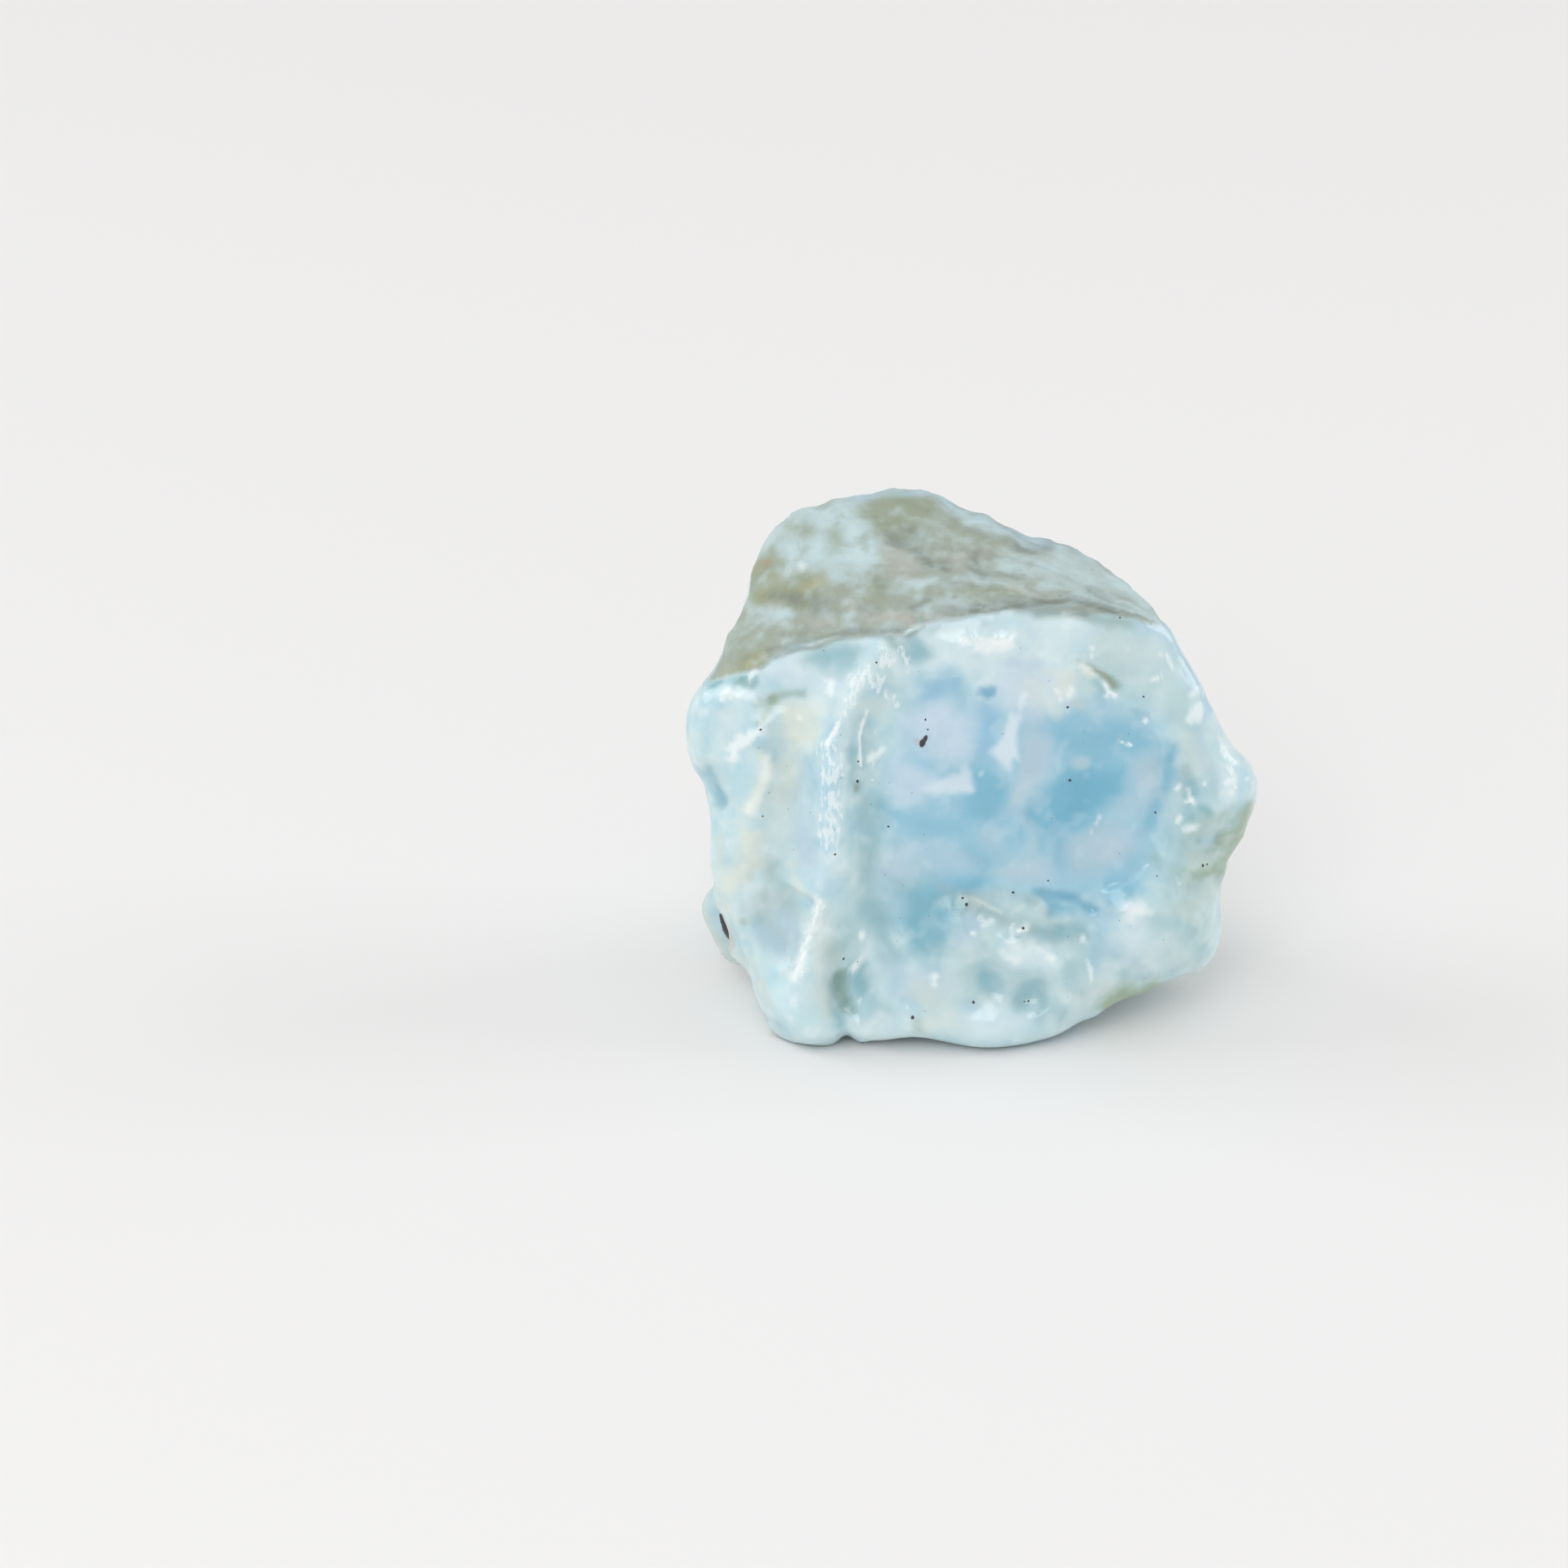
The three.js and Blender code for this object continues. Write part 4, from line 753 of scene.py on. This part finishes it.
def face_colours(points, corners, drift, ragged, cloud):
    puffs = waves(corners, 1.3, 45, 3)
    glints = cover(points, GLINTS, 1.3 * waves(corners, 0.45, 39, 2))
    painted_reflections = cover(points, PAINTED_REFLECTIONS, 0.6 * waves(corners, 0.5, 43, 2))
    return layered(linear("milk"), [
        *clouds_and_puffs(0.5, cloud, puffs),
        *strokes(FACE_PAINT, points + FACE_DRIFT * drift, ragged),
        *clouds_and_puffs(0.16, cloud, puffs),
        # Painted reflections in lavender, then painted highlights in the glint colour.
        ("lavender", painted_reflections),
        ("glint", np.maximum(glints, 0.4 * painted_reflections)),
    ])


def seam_colours(points, corners, drift, ragged):
    mossy = 0.45 * smoothstep(8, 2, points[:, 0])
    streaky = smoothstep(-7, -1, points[:, 0])
    layers = waves(seam_layers(points + 0.4 * drift), 0.55, 71, 3)
    return layered(linear("seam"), [
        ("ice", 0.6 * patchy(corners, 0, 0.6, 1.4, 74, 4)),
        *strokes(SEAM_PAINT, points + SEAM_DRIFT * drift, ragged),
        ("ice", 0.35 * patchy(corners, 0.1, 0.7, 0.8, 77, 3)),
        ("moss", mossy * patchy(corners, 0.1, 0.7, 0.9, 79, 3)),
        ("shade", 0.3 * streaky * smoothstep(0, 0.7, layers)),
        ("ice", 0.35 * streaky * smoothstep(0, -0.7, layers)),
    ])


def painted(points, corners, normals, face, seam):
    """The colour at each corner: the stone's own, with painted highlights and painted reflections on the
    glossy face.
    """
    drift = np.c_[waves(corners, 2.6, 31, 4), waves(corners, 2.6, 34, 4)]
    ragged = 0.6 * waves(corners, 1.2, 37, 4)
    cloud = waves(corners, 3.2, 41, 5)
    colours = rear_colours(corners, cloud)
    colours += face[:, None] * (face_colours(points, corners, drift, ragged, cloud) - colours)
    colours += seam[:, None] * (seam_colours(points, corners, drift, ragged) - colours)
    behind = turned_away(normals)
    beside = behind * smoothstep(0.5, -0.5, corners[:, 1])
    return layered(colours, [
        ("shade", cover(points, [(UNDER_FISSURE, 0.28, 0.6)], 0.5 * ragged)),
        ("sand", behind * cover(points, [(LEFT_LUMP, 1.2, 0.75)])),
        ("rust", beside * cover(points, [(INCLUSION, 0.2, 0.5)])),
    ])


# ---- Materials ----

def new_material(name):
    """A material, its node tree and its shader."""
    material = bpy.data.materials.new(name)
    material.use_nodes = True
    return material, material.node_tree, material.node_tree.nodes["Principled BSDF"]


def fill(tree, node, values):
    """Sets each of a node's inputs to a value, or links it to another node's output."""
    for name, value in values.items():
        if isinstance(value, bpy.types.NodeSocket):
            tree.links.new(value, node.inputs[name])
        else:
            node.inputs[name].default_value = value
    return node


def add_node(tree, kind, values):
    return fill(tree, tree.nodes.new("ShaderNode" + kind), values)


def stone_material():
    """Milky and glossy where "gloss" is 1, dull with high roughness where it is 0, and bumpier with a
    painted lacy highlight where the lace layer is 1.
    """
    material, tree, shader = new_material("larimar")

    def attribute(name, output):
        node = add_node(tree, "Attribute", {})
        node.attribute_name = name
        return node.outputs[output]

    def noise_of(place, waves_per_mm, detail, roughness):
        values = {"Vector": place, "Scale": waves_per_mm / MM, "Detail": detail, "Roughness": roughness}
        return add_node(tree, "TexNoise", values).outputs["Fac"]

    def remap(value, low, high, to_low, to_high):
        values = {"Value": value, "From Min": low, "From Max": high, "To Min": to_low, "To Max": to_high}
        return add_node(tree, "MapRange", values).outputs["Result"]

    def math_of(operation, a, b):
        node = add_node(tree, "Math", {0: a, 1: b})
        node.operation = operation
        return node.outputs[0]

    place = add_node(tree, "TexCoord", {}).outputs["Object"]
    drawn_out = add_node(tree, "Mapping", {"Vector": place, "Scale": (1, 1, 0.45)}).outputs["Vector"]
    gloss = attribute("gloss", "Fac")
    lace_highlight_and_bumps = attribute("lace_highlight_and_bumps", "Fac")
    mottle = noise_of(place, 0.7, 4, 0.6)
    grain = noise_of(place, 5, 2, 0.5)
    lacework = noise_of(drawn_out, 4, 3, 0.6)

    # Painted lacy highlight: the glint colour is mixed in where the lace layer and its noise are high.
    openings = math_of("ADD", math_of("MULTIPLY", lace_highlight_and_bumps, 0.5), lacework)
    lacy_highlight = tree.nodes.new("ShaderNodeMix")
    lacy_highlight.data_type = "RGBA"
    fill(tree, lacy_highlight, {
        "Factor": remap(openings, 0.9, 1.04, 0, 0.62),
        "A": attribute("tint", "Color"),
        "B": (*linear("glint"), 1),
    })
    brightness = add_node(tree, "HueSaturation", {
        "Color": lacy_highlight.outputs["Result"],
        "Value": remap(mottle, 0.3, 0.7, 1, 1.07),
    })
    unevenness = math_of("ADD", math_of("MULTIPLY", lace_highlight_and_bumps, 0.9), remap(gloss, 0, 1, 0.9, 0.1))
    bump = add_node(tree, "Bump", {
        "Strength": 1,
        "Distance": BUMP_DEPTH * MM,
        "Height": math_of("MULTIPLY", grain, unevenness),
    })
    dull = remap(gloss, 0, 1, DULL_ROUGHNESS, GLOSSY_ROUGHNESS)
    fill(tree, shader, {
        "Base Color": brightness.outputs["Color"],
        "Roughness": math_of("ADD", dull, remap(grain, 0.35, 0.65, -0.04, 0.06)),
        "Normal": bump.outputs["Normal"],
        "IOR": 1.6,
        "Subsurface Weight": 0.35,
        "Subsurface Radius": (0.8, 1, 1.1),
        "Subsurface Scale": 0.7 * MM,
    })
    return material


def grain_material():
    material, tree, shader = new_material("dark_grains")
    mottle = add_node(tree, "TexNoise", {"Scale": 3 / MM})
    ramp = add_node(tree, "ValToRGB", {"Fac": mottle.outputs["Fac"]})
    for element, name in zip(ramp.color_ramp.elements, ("grain", "light grain")):
        element.color = (*linear(name), 1)
    fill(tree, shader, {"Base Color": ramp.outputs["Color"], "Roughness": 0.45})
    return material


# ---- Pieces ----

def add_object(name, data):
    added = bpy.data.objects.new(name, data)
    bpy.context.scene.collection.objects.link(added)
    return added


def add_mesh(name, corners, triangles, material):
    mesh = bpy.data.meshes.new(name)
    mesh.from_pydata((corners * MM).tolist(), [], triangles.tolist())
    mesh.update()
    mesh.shade_smooth()
    mesh.materials.append(material)
    return add_object(name, mesh)


def add_stone():
    corners, triangles = cut_fine(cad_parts["larimar_stone"])
    corners = smooth(corners, triangles)
    normals = normals_of(corners, triangles)
    face, seam = zones(corners, normals)
    rear = 1 - face - seam
    points = seen(corners)
    off_the_sole = smoothstep(0.1, 0.8, corners[:, 2])

    height = face * face_relief(points, corners) + seam * seam_relief(points, corners)
    height += rear * rear_relief(corners) + edge_relief(points, normals)
    shaped = corners + (height * off_the_sole)[:, None] * normals
    for across, width, lift in HOLLOWS_UNDER:
        under = np.exp(-0.5 * ((points[:, 0] - across) / width) ** 2) * smoothstep(2.2, 0.2, shaped[:, 2])
        shaped[:, 2] += lift * under * smoothstep(-12.8, -13.7, points[:, 1])
    shaped[:, 2] = np.maximum(shaped[:, 2], 0)

    gloss = face * (1 - cover(points, [(SLIT, 0.3, 0.8)])) + SEAM_GLOSS * seam
    gloss += rear * patchy(corners, -0.1, 0.2, 4, 81, 3)
    stone = add_mesh("larimar", shaped, triangles, stone_material())
    tint = painted(points, corners, normals, face, seam)
    layer = stone.data.attributes.new("tint", "FLOAT_COLOR", "POINT")
    layer.data.foreach_set("color", np.c_[tint, np.ones(len(tint))].astype(np.float32).ravel())
    # The lace layer carries the painted lacy highlight and its bumps to the material.
    for name, values in (("gloss", gloss), ("lace_highlight_and_bumps", face * cover(points, LACE))):
        layer = stone.data.attributes.new(name, "FLOAT", "POINT")
        layer.data.foreach_set("value", np.clip(values, 0, 1).astype(np.float32))
    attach(stone, "root")
    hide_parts("larimar_stone")
    return shaped, normals_of(shaped, triangles)


def lump(middle, normal, sizes, turn, rng):
    """One uneven flattened grain, bedded in the surface."""
    bm = bmesh.new()
    bmesh.ops.create_icosphere(bm, subdivisions=2, radius=1)
    shape, triangles = corners_and_triangles(bm)
    shape *= 1 + UNEVENNESS * waves(shape, 0.9, rng.integers(100), 2)[:, None]
    along = np.cross(normal, ACROSS)
    along /= np.linalg.norm(along)
    aside = np.cross(along, normal)
    c, s = math.cos(turn), math.sin(turn)
    axes = np.array([c * aside + s * along, c * along - s * aside, normal])
    return middle + (shape * sizes) @ axes, triangles


def add_grains(shaped, normals):
    rng = np.random.default_rng(3)
    points = seen(shaped)
    hidden = OUT_OF_REACH * (normals @ OUT < 0.1)
    lumps = []
    listed = [(place, (r, r * rng.uniform(0.7, 1.3), 0.4 * r), 0) for place, r in GRAINS]
    listed += LARGE_GRAINS
    for _ in range(FINE_SPECKS):
        r = rng.uniform(0.015, 0.03)
        listed.append((rng.uniform(*SPECKLED), (r, r, 0.5 * r), 0))
    for place, sizes, turn in listed:
        i = np.argmin(np.linalg.norm(points - place, axis=1) + hidden)
        lumps.append(lump(shaped[i], normals[i], np.array(sizes), turn, rng))
    behind = np.flatnonzero((normals @ OUT < 0) & (shaped[:, 2] > 1))
    for i in rng.choice(behind, REAR_GRAINS, replace=False):
        r = rng.uniform(0.05, 0.12)
        lumps.append(lump(shaped[i], normals[i], np.array([r, 1.3 * r, 0.4 * r]), 0, rng))
    corners = np.concatenate([c for c, _ in lumps])
    start = np.cumsum([0] + [len(c) for c, _ in lumps[:-1]])
    triangles = np.concatenate([t + s for (_, t), s in zip(lumps, start)])
    grains = add_mesh("dark_grains", corners, triangles, grain_material())
    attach(grains, "root")


# ---- Camera, table and light ----

def add_camera():
    data = bpy.data.cameras.new("camera")
    data.lens = LENS
    data.sensor_width = SENSOR
    data.clip_start = 0.01
    data.clip_end = 10
    camera = add_object("camera", data)
    place = HEART + VIEWER[0] * ACROSS + VIEWER[1] * UP + VIEWER_DISTANCE * OUT
    camera.location = Vector(place * MM)
    camera.rotation_euler = (math.pi / 2 - LEAN, 0, 0)
    bpy.context.scene.camera = camera


def direction(azimuth, elevation):
    """From the stone. Azimuth 0 is in front of it, and grows to the right."""
    a, e = math.radians(azimuth), math.radians(elevation)
    return np.array([math.sin(a) * math.cos(e), -math.cos(a) * math.cos(e), math.sin(e)])


def add_soft_box(name, azimuth, elevation, distance, size, watts):
    data = bpy.data.lights.new(name, "AREA")
    data.shape = "RECTANGLE"
    data.size, data.size_y = size
    data.energy = watts
    light = add_object(name, data)
    place = HEART + distance * direction(azimuth, elevation)
    light.location = Vector(place * MM)
    light.rotation_mode = "QUATERNION"
    light.rotation_quaternion = Vector(place - HEART).to_track_quat("Z", "Y")


def add_studio():
    bpy.ops.mesh.primitive_plane_add(size=TABLE_SIZE)
    table = bpy.context.object
    table.name = "table"
    material, tree, shader = new_material("table_paper")
    fill(tree, shader, {"Base Color": TABLE_COLOUR, "Roughness": 0.9, "Specular IOR Level": 0.1})
    table.data.materials.append(material)

    world = bpy.data.worlds.new("studio")
    bpy.context.scene.world = world
    world.use_nodes = True
    tree = world.node_tree
    fill(tree, tree.nodes["Background"], {"Color": (1, 1, 1, 1), "Strength": WORLD_STRENGTH})
    for soft_box in SOFT_BOXES:
        add_soft_box(*soft_box)
    bpy.context.scene.view_settings.view_transform = "Standard"


shaped, shaped_normals = add_stone()
add_grains(shaped, shaped_normals)
add_camera()
add_studio()
